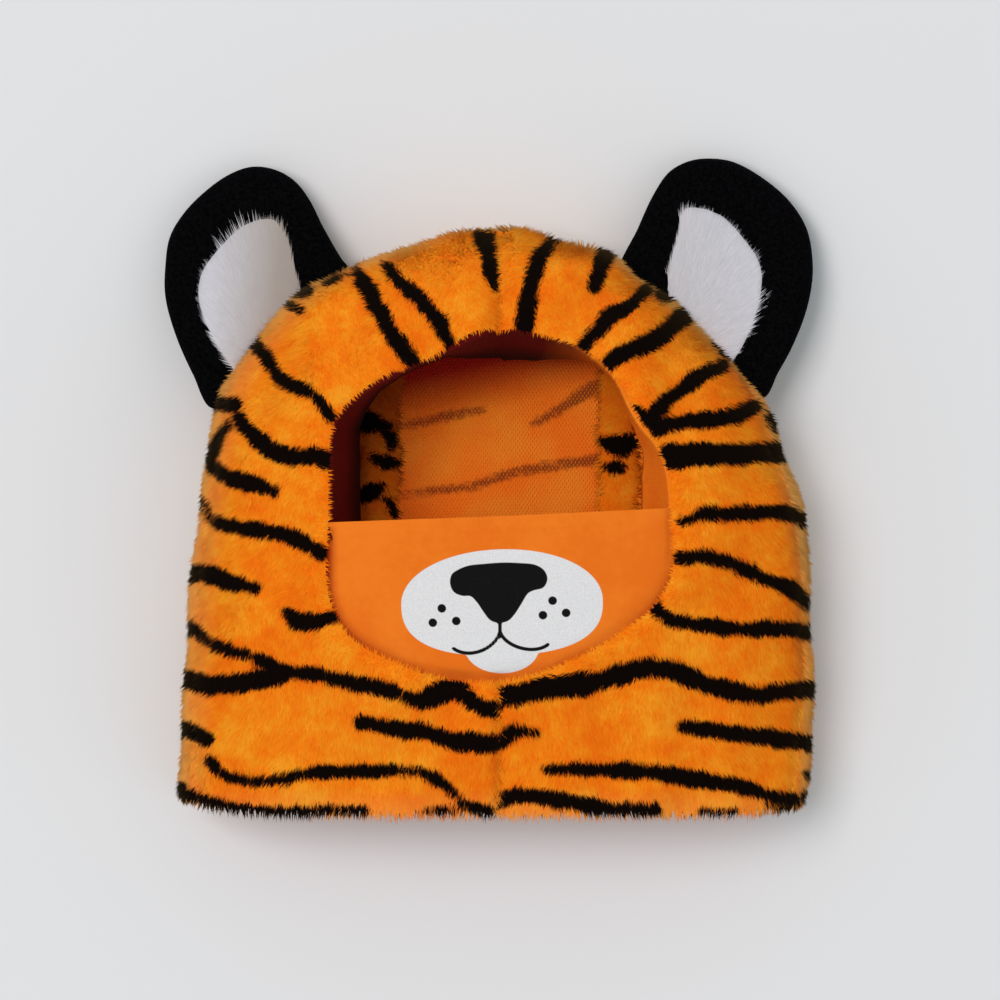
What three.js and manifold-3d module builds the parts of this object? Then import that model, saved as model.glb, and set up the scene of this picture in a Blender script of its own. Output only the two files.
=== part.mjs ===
import * as THREE from "three";
import { mergeVertices } from "three/addons/utils/BufferGeometryUtils.js";
import Module from "manifold-3d";

// A child's plush tiger hood, lying on its back with the face opening up.
// Millimetres: +X runs to the wearer's left, +Y to the crown and +Z out of the face. The surface is at z = 0.

const WALL = 5; // knit backing and pile of the plush
const GAP = 0.3; // left between neighbouring pieces
const CLOTH = 1.5; // woven cloth of the face panel and the facing

const HEM_CORNER = { rise: 3.5, power: 8, from: 100, to: 138 }; // how far the hem curves up at its corners
const TOP_SHAPE = 2.4; // superellipse power of the front layer's arch
const CORNER_REACH = 34; // how far the rounded side reaches under the hood
const NARROW_CORNER = 0.5; // the same near the crown, as a share of the half width
const LEAST = 0.4; // smallest half width or height that a section shrinks to
const FAR = 250; // past the whole hood, for what cuts it

// Sections from the hem to the crown. left and right: the outline. top: the front layer's height.
// side: height of the widest line. seam: height of the side seam. lift: height of the underside.
const SECTIONS = [
  { y: -139.5, left: -130.5, right: 132.5, top: 61, side: 27, seam: 40, lift: 0 },
  { y: -115, left: -129.6, right: 135, top: 65, side: 28, seam: 40, lift: 0 },
  { y: -83, left: -127.4, right: 136.3, top: 71, side: 29, seam: 41, lift: 0 },
  { y: -50, left: -125.3, right: 135.6, top: 76, side: 30, seam: 42, lift: 0 },
  { y: -15, left: -122.3, right: 132.2, top: 79.5, side: 31, seam: 44, lift: 0 },
  { y: 15, left: -118.5, right: 124.6, top: 80.5, side: 31, seam: 46, lift: 0 },
  { y: 40, left: -112.8, right: 115, top: 79.5, side: 31, seam: 43, lift: 0 },
  { y: 60, left: -100.6, right: 98, top: 76.5, side: 31.5, seam: 28, lift: 0 },
  { y: 76, left: -86.6, right: 80.4, top: 72, side: 32, seam: 23, lift: 0 },
  { y: 89, left: -69.5, right: 65, top: 66, side: 33, seam: 22, lift: 3 },
  { y: 99, left: -49, right: 50, top: 59, side: 34, seam: 25, lift: 9 },
  { y: 105.6, left: -30, right: 30.5, top: 51, side: 35, seam: 30, lift: 17 },
  { y: 109.2, left: -12, right: 17, top: 43, side: 35.5, seam: 34, lift: 27 },
  { y: 110.4, left: 1.9, right: 4.1, top: 36.5, side: 35.5, seam: 35.5, lift: 34.5 },
];
const STEPS_PER_SECTION = 2;
const ARCH_STEPS = 22; // across the front layer
const CORNER_STEPS = 5; // round each side under the hood
const FLAT_STEPS = 4; // across the underside

// The face opening, once round its edge from the notch at the crown seam.
const OPENING = [
  [5, 68], [22, 65.8], [39, 59.4], [54, 48], [67, 29], [75.6, 8], [77.6, -14], [76.6, -34],
  [69, -48], [55.7, -58.8], [33.4, -71.5], [10.7, -78.6], [-9.5, -79.2], [-25.2, -76.6],
  [-42.2, -69.9], [-58.6, -59.9], [-66, -46], [-66.8, -22], [-66.9, 10], [-64.6, 29],
  [-50, 42.6], [-33, 52], [-18.3, 58.4], [-4, 65],
];
const OPENING_STEPS = 60;
const OPENING_FLOOR = 42; // the opening is cut down to here, through the front layer alone

const PANEL_TOP = { middle: -10.8, slope: 0.042 }; // y of the face panel's upper hem, and its slope along X
const PANEL_DEPTH = 2.4; // how far the face panel lies under the tips of the pile

const FACING = {
  ends: -22, // y of its two ends, behind the face panel
  steps: 72, // once round the opening, of which the part above its ends is kept
  depth: WALL - 0.4, // its sewn edge, below the tips of the pile
  foot: 27, // height of its free edge
};
// How far the facing slopes in, by direction about the opening's middle, in degrees from +X.
const OPENING_MIDDLE = { x: 5, y: 5 };
const FACING_REACH = [
  { way: -90, reach: 12.5 }, { way: -14, reach: 12.3 }, { way: 2, reach: 10.5 }, { way: 10, reach: 7 },
  { way: 21, reach: 2 }, { way: 30, reach: 0.9 }, { way: 50, reach: 0.9 }, { way: 58, reach: 4.2 },
  { way: 74, reach: 10.6 }, { way: 90, reach: 12.8 }, { way: 100, reach: 8.5 }, { way: 106, reach: 6 },
  { way: 114, reach: 1.2 }, { way: 133, reach: 0.9 }, { way: 144, reach: 2.4 }, { way: 150, reach: 5 },
  { way: 156, reach: 8.5 }, { way: 164, reach: 10.8 }, { way: 182, reach: 11.8 }, { way: 270, reach: 12 },
];

const SEAMS = { front: 4.6, backRight: -40, backLeft: 48 }; // x of the centre seam and of the two back seams

const STRIPS = [
  { name: "seam_allowance_right", inner: -39.6, outer: -55, height: 4 },
  { name: "seam_allowance_left", inner: 49, outer: 61.5, height: 4 },
];
const STRIP_RUN = { from: -128, to: 50, sides: 8 };

// Each ear is drawn from the hood's edge round its tip and back, and then through its hidden base.
const EARS = [
  {
    side: "right",
    outline: [
      [-116, 34], [-124.4, 48.5], [-131.8, 65.3], [-136.1, 81.3], [-136.1, 94.3], [-134.2, 106.5],
      [-128.1, 116.8], [-118.7, 126.2], [-109.4, 132.7], [-100, 136], [-90.6, 135], [-82.1, 130.4],
      [-75.6, 122.4], [-69.9, 111.1], [-62.5, 98.1], [-56, 88], [-68, 72], [-92, 50],
    ],
    inset: [
      [-105, 44], [-109.5, 51.2], [-117, 62.4], [-121.6, 72.9], [-123.4, 83], [-121.5, 92.4],
      [-114, 102.7], [-104.8, 111.6], [-95.3, 115.4], [-88.8, 114.5], [-85.9, 109.4], [-82.1, 98.1],
      [-78.4, 84], [-80, 66], [-92, 50],
    ],
    root: [-88, 66],
    tip: [-108, 134],
  },
  {
    side: "left",
    outline: [
      [54, 88], [63, 110.3], [69.5, 124.3], [76.1, 133.8], [84.5, 138.4], [92.9, 139.5], [103.3, 138],
      [117.3, 130], [127.6, 120.5], [134.2, 109.4], [136.5, 96.2], [136.1, 85.9], [133.3, 73.7],
      [127.6, 59.6], [122, 49.4], [115, 38], [92, 50], [66, 72],
    ],
    inset: [
      [74.7, 84.9], [77, 96.2], [79.8, 109.4], [81.7, 119.1], [88.3, 119.6], [98.5, 115.8],
      [106, 109.3], [113.6, 99], [115.9, 90.5], [114, 72.9], [108.9, 61.5], [104.2, 54], [98, 46],
      [86, 54], [76, 68],
    ],
    root: [86, 66],
    tip: [104, 137],
  },
];
const EAR = {
  thickness: 11,
  round: 4, // the rounded edge of the padding
  rootHeight: 22, // middle of the padding at the hood
  tipHeight: 8, // and at the tip
  recess: 4, // depth of the plush inset in its rim
  proud: 0.5, // how far the inset stands above the rim's velvet
  outlineSteps: 44,
  insetSteps: 32,
};

const ORANGE_PLUSH = { color: 0xee8a14, roughness: 0.95, metalness: 0 };
const SIDE_PLUSH = { color: 0xe27c10, roughness: 0.95, metalness: 0 };
const ORANGE_CLOTH = { color: 0xec7820, roughness: 0.8, metalness: 0 };
const BLACK_VELVET = { color: 0x0a0a0b, roughness: 0.9, metalness: 0 };
const WHITE_PLUSH = { color: 0xd6d2d8, roughness: 0.95, metalness: 0 };

const wasm = await Module();
wasm.setup();

function solidOf(geometry) {
  const plain = geometry.index ? geometry.toNonIndexed() : geometry.clone();
  plain.deleteAttribute("normal");
  plain.deleteAttribute("uv");
  const welded = mergeVertices(plain, 1e-4);
  return new wasm.Manifold(
    new wasm.Mesh({
      numProp: 3,
      vertProperties: new Float32Array(welded.attributes.position.array),
      triVerts: new Uint32Array(welded.index.array),
    }),
  );
}

function geometryOf(solid) {
  const { vertProperties, triVerts } = solid.getMesh();
  const geometry = new THREE.BufferGeometry();
  geometry.setAttribute("position", new THREE.BufferAttribute(new Float32Array(vertProperties), 3));
  geometry.setIndex(new THREE.BufferAttribute(new Uint32Array(triVerts), 1));
  geometry.computeVertexNormals();
  return geometry;
}

// A closed skin through rings of points, each ring with the same count, capped at both ends.
function loft(rings) {
  const count = rings[0].length;
  const points = rings.flat();
  const faces = [];
  for (let i = 0; i < rings.length - 1; i++) {
    for (let j = 0; j < count; j++) {
      const a = i * count + j;
      const b = i * count + ((j + 1) % count);
      faces.push(a, b + count, b, a, a + count, b + count);
    }
  }
  for (const [ring, first] of [[rings[0], true], [rings.at(-1), false]]) {
    const base = first ? 0 : (rings.length - 1) * count;
    points.push(ring.reduce((sum, p) => sum.clone().add(p), new THREE.Vector3()).divideScalar(count));
    const middle = points.length - 1;
    for (let j = 0; j < count; j++) {
      const a = base + j;
      const b = base + ((j + 1) % count);
      faces.push(middle, first ? a : b, first ? b : a);
    }
  }
  const geometry = new THREE.BufferGeometry().setFromPoints(points);
  geometry.setIndex(faces);
  return geometry;
}

function closedOutline(points, steps) {
  const curve = new THREE.CatmullRomCurve3(
    points.map(([x, y]) => new THREE.Vector3(x, y, 0)), true, "centripetal",
  );
  return curve.getPoints(steps).slice(0, steps).map((p) => new THREE.Vector2(p.x, p.y));
}

// The same outline moved inward, or outward where the distance is below zero.
function movedIn(outline, distance) {
  const turn = THREE.ShapeUtils.isClockWise(outline) ? -1 : 1;
  return outline.map((p, i) => {
    const before = outline.at(i - 1);
    const after = outline[(i + 1) % outline.length];
    const along = after.clone().sub(before).normalize();
    return new THREE.Vector2(p.x - turn * along.y * distance, p.y + turn * along.x * distance);
  });
}

function prism(outline, low, high) {
  const shape = new THREE.Shape(outline);
  return new THREE.ExtrudeGeometry(shape, { depth: high - low, bevelEnabled: false }).translate(0, 0, low);
}

// One value of the section table between its rows, smoothed through the four nearest.
function columnAt(column, place) {
  const last = SECTIONS.length - 1;
  const i = Math.min(Math.floor(place), last - 1);
  const t = place - i;
  const rows = [i - 1, i, i + 1, i + 2].map((k) => THREE.MathUtils.clamp(k, 0, last));
  const [a, b, c, d] = rows.map((row) => SECTIONS[row][column]);
  const bend = 2 * a - 5 * b + 4 * c - d;
  const twist = 3 * b - a - 3 * c + d;
  return 0.5 * (2 * b + (c - a) * t + bend * t * t + twist * t * t * t);
}

function sectionAt(place) {
  const row = {};
  for (const column of Object.keys(SECTIONS[0])) row[column] = columnAt(column, place);
  row.lift = Math.max(0, row.lift);
  return row;
}

function placeOf(y) {
  let low = 0;
  let high = SECTIONS.length - 1;
  for (let i = 0; i < 30; i++) {
    const middle = (low + high) / 2;
    if (columnAt("y", middle) < y) low = middle;
    else high = middle;
  }
  return low;
}

// Points once round a section: over the front layer from right to left, round one side, across the underside
// and round the other side. depth moves the section inward, or outward where it is below zero.
function sectionRing(row, depth, y) {
  const middle = (row.left + row.right) / 2;
  const half = Math.max((row.right - row.left) / 2 - depth, LEAST);
  const top = Math.max(row.top - depth, row.side + LEAST);
  const floor = Math.min(row.lift + depth, row.side - LEAST);
  const reach = Math.min(CORNER_REACH, half * NARROW_CORNER);
  const lifted = HEM_CORNER.rise * THREE.MathUtils.smoothstep(-y, HEM_CORNER.from, HEM_CORNER.to);
  const rise = (x) => y + lifted * Math.abs(x / half) ** HEM_CORNER.power;
  const ring = [];
  const add = (x, z) => ring.push(new THREE.Vector3(middle + x, rise(x), z));
  for (let i = 0; i <= ARCH_STEPS; i++) {
    const angle = (Math.PI * i) / ARCH_STEPS;
    const across = Math.sign(Math.cos(angle)) * Math.abs(Math.cos(angle)) ** (2 / TOP_SHAPE);
    add(half * across, row.side + (top - row.side) * Math.sin(angle) ** (2 / TOP_SHAPE));
  }
  const corner = (turn, step) => {
    const angle = ((Math.PI / 2) * step) / CORNER_STEPS;
    add(turn * (half - reach * (1 - Math.cos(angle))), row.side - (row.side - floor) * Math.sin(angle));
  };
  for (let i = 1; i <= CORNER_STEPS; i++) corner(-1, i);
  for (let i = 1; i <= FLAT_STEPS; i++) add((half - reach) * ((2 * i) / FLAT_STEPS - 1), floor);
  for (let i = CORNER_STEPS - 1; i > 0; i--) corner(1, i);
  return ring;
}

// The hood's outer form moved inward by depth, as one closed solid, longer at the hem by extra.
function hoodForm(depth, extra = 0) {
  const hem = SECTIONS[0].y;
  const length = SECTIONS.at(-1).y - hem;
  const rings = [];
  const steps = (SECTIONS.length - 1) * STEPS_PER_SECTION;
  for (let i = 0; i <= steps; i++) {
    const row = sectionAt(i / STEPS_PER_SECTION);
    const y = hem + ((row.y - hem) * (length - depth)) / length;
    rings.push(sectionRing(row, depth, i === 0 ? y - extra : y));
  }
  return solidOf(loft(rings));
}

// Height of the front layer, tips of the pile, above a point of the plan.
function frontHeight(x, y) {
  const row = sectionAt(placeOf(y));
  const across = Math.min(Math.abs(x - (row.left + row.right) / 2) / ((row.right - row.left) / 2), 1);
  return row.side + (row.top - row.side) * (1 - across ** TOP_SHAPE) ** (1 / TOP_SHAPE);
}

// Everything in front of the side seams, which climb and dip along the hood's sides.
function inFrontOfSeams(gap) {
  const profile = [];
  const steps = (SECTIONS.length - 1) * STEPS_PER_SECTION;
  for (let i = 0; i <= steps; i++) {
    const row = sectionAt(i / STEPS_PER_SECTION);
    profile.push(new THREE.Vector2(row.y, row.seam + gap));
  }
  profile[0].x = -FAR;
  profile.at(-1).x = FAR;
  profile.push(new THREE.Vector2(FAR, FAR), new THREE.Vector2(-FAR, FAR));
  const body = new THREE.ExtrudeGeometry(new THREE.Shape(profile), { depth: 2 * FAR, bevelEnabled: false });
  // The profile's own axes are the hood's Y and Z, and its depth runs along X.
  body.applyMatrix4(new THREE.Matrix4().set(0, 0, 1, -FAR, 1, 0, 0, 0, 0, 1, 0, 0, 0, 0, 0, 1));
  return solidOf(body);
}

function betweenX(x0, x1) {
  const slice = new THREE.BoxGeometry(x1 - x0, 2 * FAR, 2 * FAR);
  return solidOf(slice.translate((x0 + x1) / 2, 0, 0));
}

const hood = new THREE.Group();

function addPiece(name, solid, finish) {
  const mesh = new THREE.Mesh(geometryOf(solid), new THREE.MeshStandardMaterial(finish));
  mesh.name = name;
  hood.add(mesh);
}

const openingOutline = closedOutline(OPENING, OPENING_STEPS);

// The plush shell, open at the hem and at the face, sewn from two front panels and three back panels.
function addPlushPanels() {
  const shell = hoodForm(0).subtract(hoodForm(WALL, 10));
  const front = shell
    .intersect(inFrontOfSeams(GAP / 2))
    .subtract(solidOf(prism(openingOutline, OPENING_FLOOR, FAR)));
  const back = shell.subtract(inFrontOfSeams(-GAP / 2));
  const half = GAP / 2;
  const { front: centre, backRight, backLeft } = SEAMS;
  addPiece("front_panel_right", front.intersect(betweenX(-FAR, centre - half)), ORANGE_PLUSH);
  addPiece("front_panel_left", front.intersect(betweenX(centre + half, FAR)), ORANGE_PLUSH);
  addPiece("back_panel_right", back.intersect(betweenX(-FAR, backRight - half)), SIDE_PLUSH);
  addPiece("back_panel_centre", back.intersect(betweenX(backRight + half, backLeft - half)), ORANGE_PLUSH);
  addPiece("back_panel_left", back.intersect(betweenX(backLeft + half, FAR)), SIDE_PLUSH);
}

// The seam allowances of the two back seams, folded flat inside the hood.
function addSeamAllowances() {
  const { from, to, sides } = STRIP_RUN;
  for (const { name, inner, outer, height } of STRIPS) {
    const middle = (inner + outer) / 2;
    const half = Math.abs(inner - outer) / 2;
    const profile = [];
    for (let i = 0; i <= sides; i++) {
      const angle = (Math.PI * i) / sides;
      profile.push(new THREE.Vector2(middle + half * Math.cos(angle), height * Math.sqrt(Math.sin(angle))));
    }
    const run = { depth: to - from, bevelEnabled: false };
    const strip = new THREE.ExtrudeGeometry(new THREE.Shape(profile), run);
    strip.rotateX(Math.PI / 2).translate(0, to, WALL + GAP);
    addPiece(name, solidOf(strip), SIDE_PLUSH);
  }
}

// The woven panel over the mouth and chin, curved like the front layer, in the lower half of the opening.
function addFacePanel() {
  const sheet = hoodForm(PANEL_DEPTH).subtract(hoodForm(PANEL_DEPTH + CLOTH));
  const inside = solidOf(prism(movedIn(openingOutline, GAP), OPENING_FLOOR, FAR));
  const hemAt = (x) => new THREE.Vector2(x, PANEL_TOP.middle + PANEL_TOP.slope * x);
  const below = [new THREE.Vector2(-FAR, -FAR), new THREE.Vector2(FAR, -FAR), hemAt(FAR), hemAt(-FAR)];
  addPiece("face_panel", sheet.intersect(inside).intersect(solidOf(prism(below, 0, FAR))), ORANGE_CLOTH);
}

function facingReach(point) {
  const turn = Math.atan2(point.y - OPENING_MIDDLE.y, point.x - OPENING_MIDDLE.x);
  const degrees = THREE.MathUtils.radToDeg(turn);
  const way = degrees < -90 ? degrees + 360 : degrees;
  const next = Math.max(1, FACING_REACH.findIndex((row) => row.way >= way));
  const [a, b] = [FACING_REACH[next - 1], FACING_REACH[next]];
  return THREE.MathUtils.mapLinear(way, a.way, b.way, a.reach, b.reach);
}

// The smooth band that is sewn round the upper opening and slopes into the hood.
function addFacing() {
  const curve = new THREE.CatmullRomCurve3(
    OPENING.map(([x, y]) => new THREE.Vector3(x, y, 0)), true, "centripetal",
  );
  const turns = Array.from({ length: FACING.steps }, (_, i) => (0.5 + i / FACING.steps) % 1);
  const rings = [];
  for (const t of turns.filter((turn) => curve.getPointAt(turn).y > FACING.ends)) {
    const edge = curve.getPointAt(t);
    const along = curve.getTangentAt(t);
    const inward = new THREE.Vector3(along.y, -along.x, 0);
    const reach = facingReach(edge);
    const at = (distance, z) => edge.clone().addScaledVector(inward, distance).setZ(z);
    const head = frontHeight(edge.x, edge.y) - FACING.depth;
    const foot = [at(GAP + reach, FACING.foot), at(GAP + CLOTH + reach, FACING.foot)];
    rings.push([...foot, at(GAP + CLOTH, head), at(GAP, head)]);
  }
  addPiece("opening_facing", solidOf(loft(rings)), ORANGE_CLOTH);
}

// Lowers a flat ear from its root to its tip, so that it slopes from the hood down to the surface.
function lean(geometry, { root, tip }) {
  const axis = new THREE.Vector2(tip[0] - root[0], tip[1] - root[1]);
  const length = axis.length();
  axis.normalize();
  const position = geometry.attributes.position;
  for (let i = 0; i < position.count; i++) {
    const along = (position.getX(i) - root[0]) * axis.x + (position.getY(i) - root[1]) * axis.y;
    const height = THREE.MathUtils.lerp(EAR.rootHeight, EAR.tipHeight, along / length);
    position.setZ(i, position.getZ(i) + height);
  }
  return geometry;
}

function addEars() {
  const outside = hoodForm(-GAP);
  const top = EAR.thickness / 2;
  for (const ear of EARS) {
    const outline = movedIn(closedOutline(ear.outline, EAR.outlineSteps), EAR.round);
    const inset = closedOutline(ear.inset, EAR.insetSteps);
    const flat = EAR.thickness - 2 * EAR.round;
    const padding = new THREE.ExtrudeGeometry(new THREE.Shape(outline), {
      depth: flat, bevelThickness: EAR.round, bevelSize: EAR.round, bevelSegments: 3,
    });
    padding.translate(0, 0, -flat / 2);
    const pocket = prism(movedIn(inset, -GAP), top - EAR.recess, FAR);
    const plush = prism(inset, top - EAR.recess + GAP, top + EAR.proud);
    const body = solidOf(lean(padding, ear)).subtract(solidOf(lean(pocket, ear))).subtract(outside);
    addPiece(`ear_${ear.side}`, body, BLACK_VELVET);
    addPiece(`ear_inset_${ear.side}`, solidOf(lean(plush, ear)).subtract(outside), WHITE_PLUSH);
  }
}

addPlushPanels();
addSeamAllowances();
addFacePanel();
addFacing();
addEars();

export default hood;
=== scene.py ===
import math

import bmesh
import bpy
import numpy as np
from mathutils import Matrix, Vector


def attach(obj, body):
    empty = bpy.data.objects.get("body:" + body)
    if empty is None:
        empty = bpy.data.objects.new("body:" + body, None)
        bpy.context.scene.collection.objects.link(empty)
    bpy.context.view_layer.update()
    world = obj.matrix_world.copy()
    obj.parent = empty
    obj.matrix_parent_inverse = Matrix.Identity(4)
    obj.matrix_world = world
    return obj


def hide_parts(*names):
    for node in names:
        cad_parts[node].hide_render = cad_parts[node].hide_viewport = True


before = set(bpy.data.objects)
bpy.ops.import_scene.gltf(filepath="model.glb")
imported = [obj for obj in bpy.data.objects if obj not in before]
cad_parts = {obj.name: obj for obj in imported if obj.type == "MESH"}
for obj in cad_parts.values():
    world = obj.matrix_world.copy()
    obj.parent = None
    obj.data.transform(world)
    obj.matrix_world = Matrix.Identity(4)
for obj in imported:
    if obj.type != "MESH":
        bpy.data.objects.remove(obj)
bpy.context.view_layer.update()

MM = 0.001

# The hood's own form, in millimetres: +X to the wearer's left, +Y to the crown, +Z out of the face.
# Sections from the hem to the crown: y, x of the two sides, the heights of the top, of the widest place
# and of the side seam, and how far the underside is lifted.
SECTIONS = np.array([
    (-139.5, -130.5, 132.5, 61, 27, 40, 0),
    (-115, -129.6, 135, 65, 28, 40, 0),
    (-83, -128.6, 136.3, 71, 29, 41, 0),
    (-50, -127, 135.6, 76, 30, 42, 0),
    (-15, -123.2, 132.2, 79.5, 31, 44, 0),
    (15, -119, 124.6, 80.5, 31, 46, 0),
    (40, -112.8, 115, 79.5, 31, 43, 0),
    (60, -100.6, 98, 76.5, 31.5, 28, 0),
    (76, -86.6, 80.4, 72, 32, 23, 0),
    (89, -69.5, 65, 66, 33, 22, 3),
    (99, -41, 51, 59, 34, 25, 9),
    (105.6, -25.5, 32.5, 51, 35, 30, 17),
    (109.6, -16, 21, 43, 35.5, 34, 27),
    (111.3, 1.9, 4.1, 36.5, 35.5, 35.5, 34.5),
])
Y, LEFT, RIGHT, TOP, SIDE, SEAM, LIFT = range(7)
LAST = len(SECTIONS) - 1
HEM, CROWN = SECTIONS[0, Y], SECTIONS[-1, Y]
TOP_SHAPE = 2.4  # how square a section's upper half is, 2 for an ellipse
CORNER_REACH = 34  # how far in from its sides a section's lower corners are round
NARROW_CORNER = 0.5  # and the share of its half width that they take up at most
LEAST = 0.4  # what is left at least of a section's half width and height
# How far the hem's corners rise, how sharply, and how far below the middle that begins and ends.
HEM_CORNER = {"right": 7.0, "left": 3.5, "power": 8, "from": 100, "to": 138}

# The edge of the face opening, seen from above, from the top over the wearer's left.
OPENING = [
    (5, 68), (22, 65.8), (39, 59.4), (53, 48), (60, 34.5), (64.5, 27), (71.5, 18.5), (75.6, 8),
    (77.6, -14), (76.6, -34), (69, -48), (55.7, -58.8), (33.4, -71.5), (10.7, -78.6), (-9.5, -79.2),
    (-25.2, -76.6), (-42.2, -69.9), (-58.6, -59.9), (-66, -46), (-66.8, -22), (-66.9, 10),
    (-64.6, 29), (-50, 42.6), (-33, 52), (-18.3, 58.4), (-4, 65),
]
OPENING_MIDDLE = (5, 5)
CENTRE_SEAM = 4.6  # x of the seam over forehead and chin
BACK_SEAMS = (-40, 48)  # x of the two seams of the back
SEAM_GAP = {"centre": 0.2, "back": 0.25, "side": 0.006}  # half gaps, the side seams' as a turn

# Each ear from above: outline, inset, the ends of its sloping axis, the point that its hairs fan out from,
# the middle of its stray wisps, and how much warm painted shade the white takes on its inner side.
EARS = {
    "right": {
        "outline": [
            (-116, 34), (-124.4, 48.5), (-131.8, 65.3), (-136.1, 81.3), (-136.1, 94.3), (-134.2, 106.5),
            (-128.1, 116.8), (-118.7, 126.2), (-109.4, 132.7), (-100, 136), (-90.6, 135), (-82.1, 130.4),
            (-75.6, 122.4), (-69.9, 111.1), (-62.5, 98.1), (-56, 88), (-68, 72), (-92, 50),
        ],
        "inset": [
            (-105, 44), (-109.5, 51.2), (-117, 62.4), (-121.6, 72.9), (-123.4, 83), (-121.5, 92.4),
            (-114, 102.7), (-104.8, 111.6), (-95.3, 115.4), (-88.8, 114.5), (-85.9, 109.4), (-82.1, 98.1),
            (-78.4, 84), (-80, 66), (-92, 50),
        ],
        "root": (-88, 66),
        "tip": (-108, 134),
        "fan": (-78, 40),
        "wisp": (-106, 104),
        "inner_rim_shade": 1.0,
    },
    "left": {
        "outline": [
            (54, 88), (63, 110.3), (69.5, 124.3), (76.1, 133.8), (84.5, 138.4), (92.9, 139.5),
            (103.3, 138), (117.3, 130), (127.6, 120.5), (134.2, 109.4), (136.5, 96.2), (136.1, 85.9),
            (133.3, 73.7), (127.6, 59.6), (122, 49.4), (115, 38), (92, 50), (66, 72),
        ],
        "inset": [
            (74.7, 84.9), (77, 96.2), (79.8, 109.4), (81.7, 119.1), (88.3, 119.6), (98.5, 115.8),
            (106, 109.3), (113.6, 99), (115.9, 90.5), (114, 72.9), (108.9, 61.5), (104.2, 54), (98, 46),
            (86, 54), (76, 68),
        ],
        "root": (86, 66),
        "tip": (104, 137),
        "fan": (68, 52),
        "wisp": (110, 72),
        "inner_rim_shade": 0.15,
    },
}
# Both ears: half thickness, rounded edge, heights at root and tip, the bed of the inset, and the hairs.
EAR = {"half": 5.2, "round": 7, "root_height": 22, "tip_height": 8, "dip": 3.2, "dip_width": 3,
       "inset_thickness": 2.2, "inset_round": 5, "hair": 9.5, "hair_reach": 8.6, "wisp": 9}

# How deep the cloth lies under the tips of the pile, and how thick it is.
BACKING_DEPTH = 2.7
BACKING = 1.5
PANEL_DEPTH = 2.8
PANEL_CLOTH = 1.2
UNDER_PLUSH = 0.5  # how far the smooth cloths stay below the plush that they are sewn to
FACING = {"ends": -22, "foot": 27.5, "cloth": 1.1, "start": 0.35, "slope": 1.15, "grid": (170, 18),
          "buckle": 0.06, "buckles": (46, 17)}
FACING_TUCK = (-3.0, -1.3)  # where the facing lies under the plush, as steps into the opening
# How far the facing reaches into the opening, and how much painted shade it takes where it turns away
# from the light, by direction about the opening's middle, in degrees from +X.
FACING_REACH = [
    (-20, 12.5), (-14, 12.3), (2, 10.5), (10, 7), (21, 2), (30, 0.9), (50, 0.9), (58, 4.2), (74, 10.6),
    (90, 12.8), (100, 8.5), (106, 6), (114, 1.2), (133, 0.9), (144, 2.4), (150, 5), (156, 8.5),
    (164, 10.8), (182, 11.8), (205, 12),
]
FACING_SHADE_SHARE = [(-20, 0.0), (22, 0.05), (45, 0.25), (60, 0.8), (72, 1.0), (205, 1.0)]
FACE_TUCK = 3.2  # how far the face panel runs on under the plush
PANEL_TOP = {"middle": -10.8, "slope": 0.042}
PANEL_SINK = {"depth": 2.2, "width": 9, "tuck": 3.5}  # toward the opening's edge
PANEL_HEM = {"rise": 0.2, "width": 7, "step": 1.2, "round": 0.3}  # its upper edge, turned down and sewn
PANEL_FULLNESS = {"height": 0.3, "size": 60}
PANEL_MARGIN = {"gap": 0.45, "toward": (5.0, -40.0)}  # how far its edges draw back, and to which point
# Its painted shade along the opening's edge, under the plush: width, how far from the hem it begins, and
# depth by x.
PANEL_SHADE = {"width": 5, "off_hem": 4, "x": (-62, -40, 60), "depth": (1.0, 0.5, 0.3)}
# The folded edges of the back's seams: ends, height, and the height and length of their waves.
ALLOWANCE = {"ends": (-127, 49), "rise": 3.0, "swell": (0.12, 7.0), "sway": ((0.64, 6.0), (0.48, 2.3)),
             "grid": (80, 15)}

# The photograph's frame: millimetres a pixel, and the pixel where the hood's own middle lies.
PIXEL = 0.42
MIDDLE = (488.5, 489.5)

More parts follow.
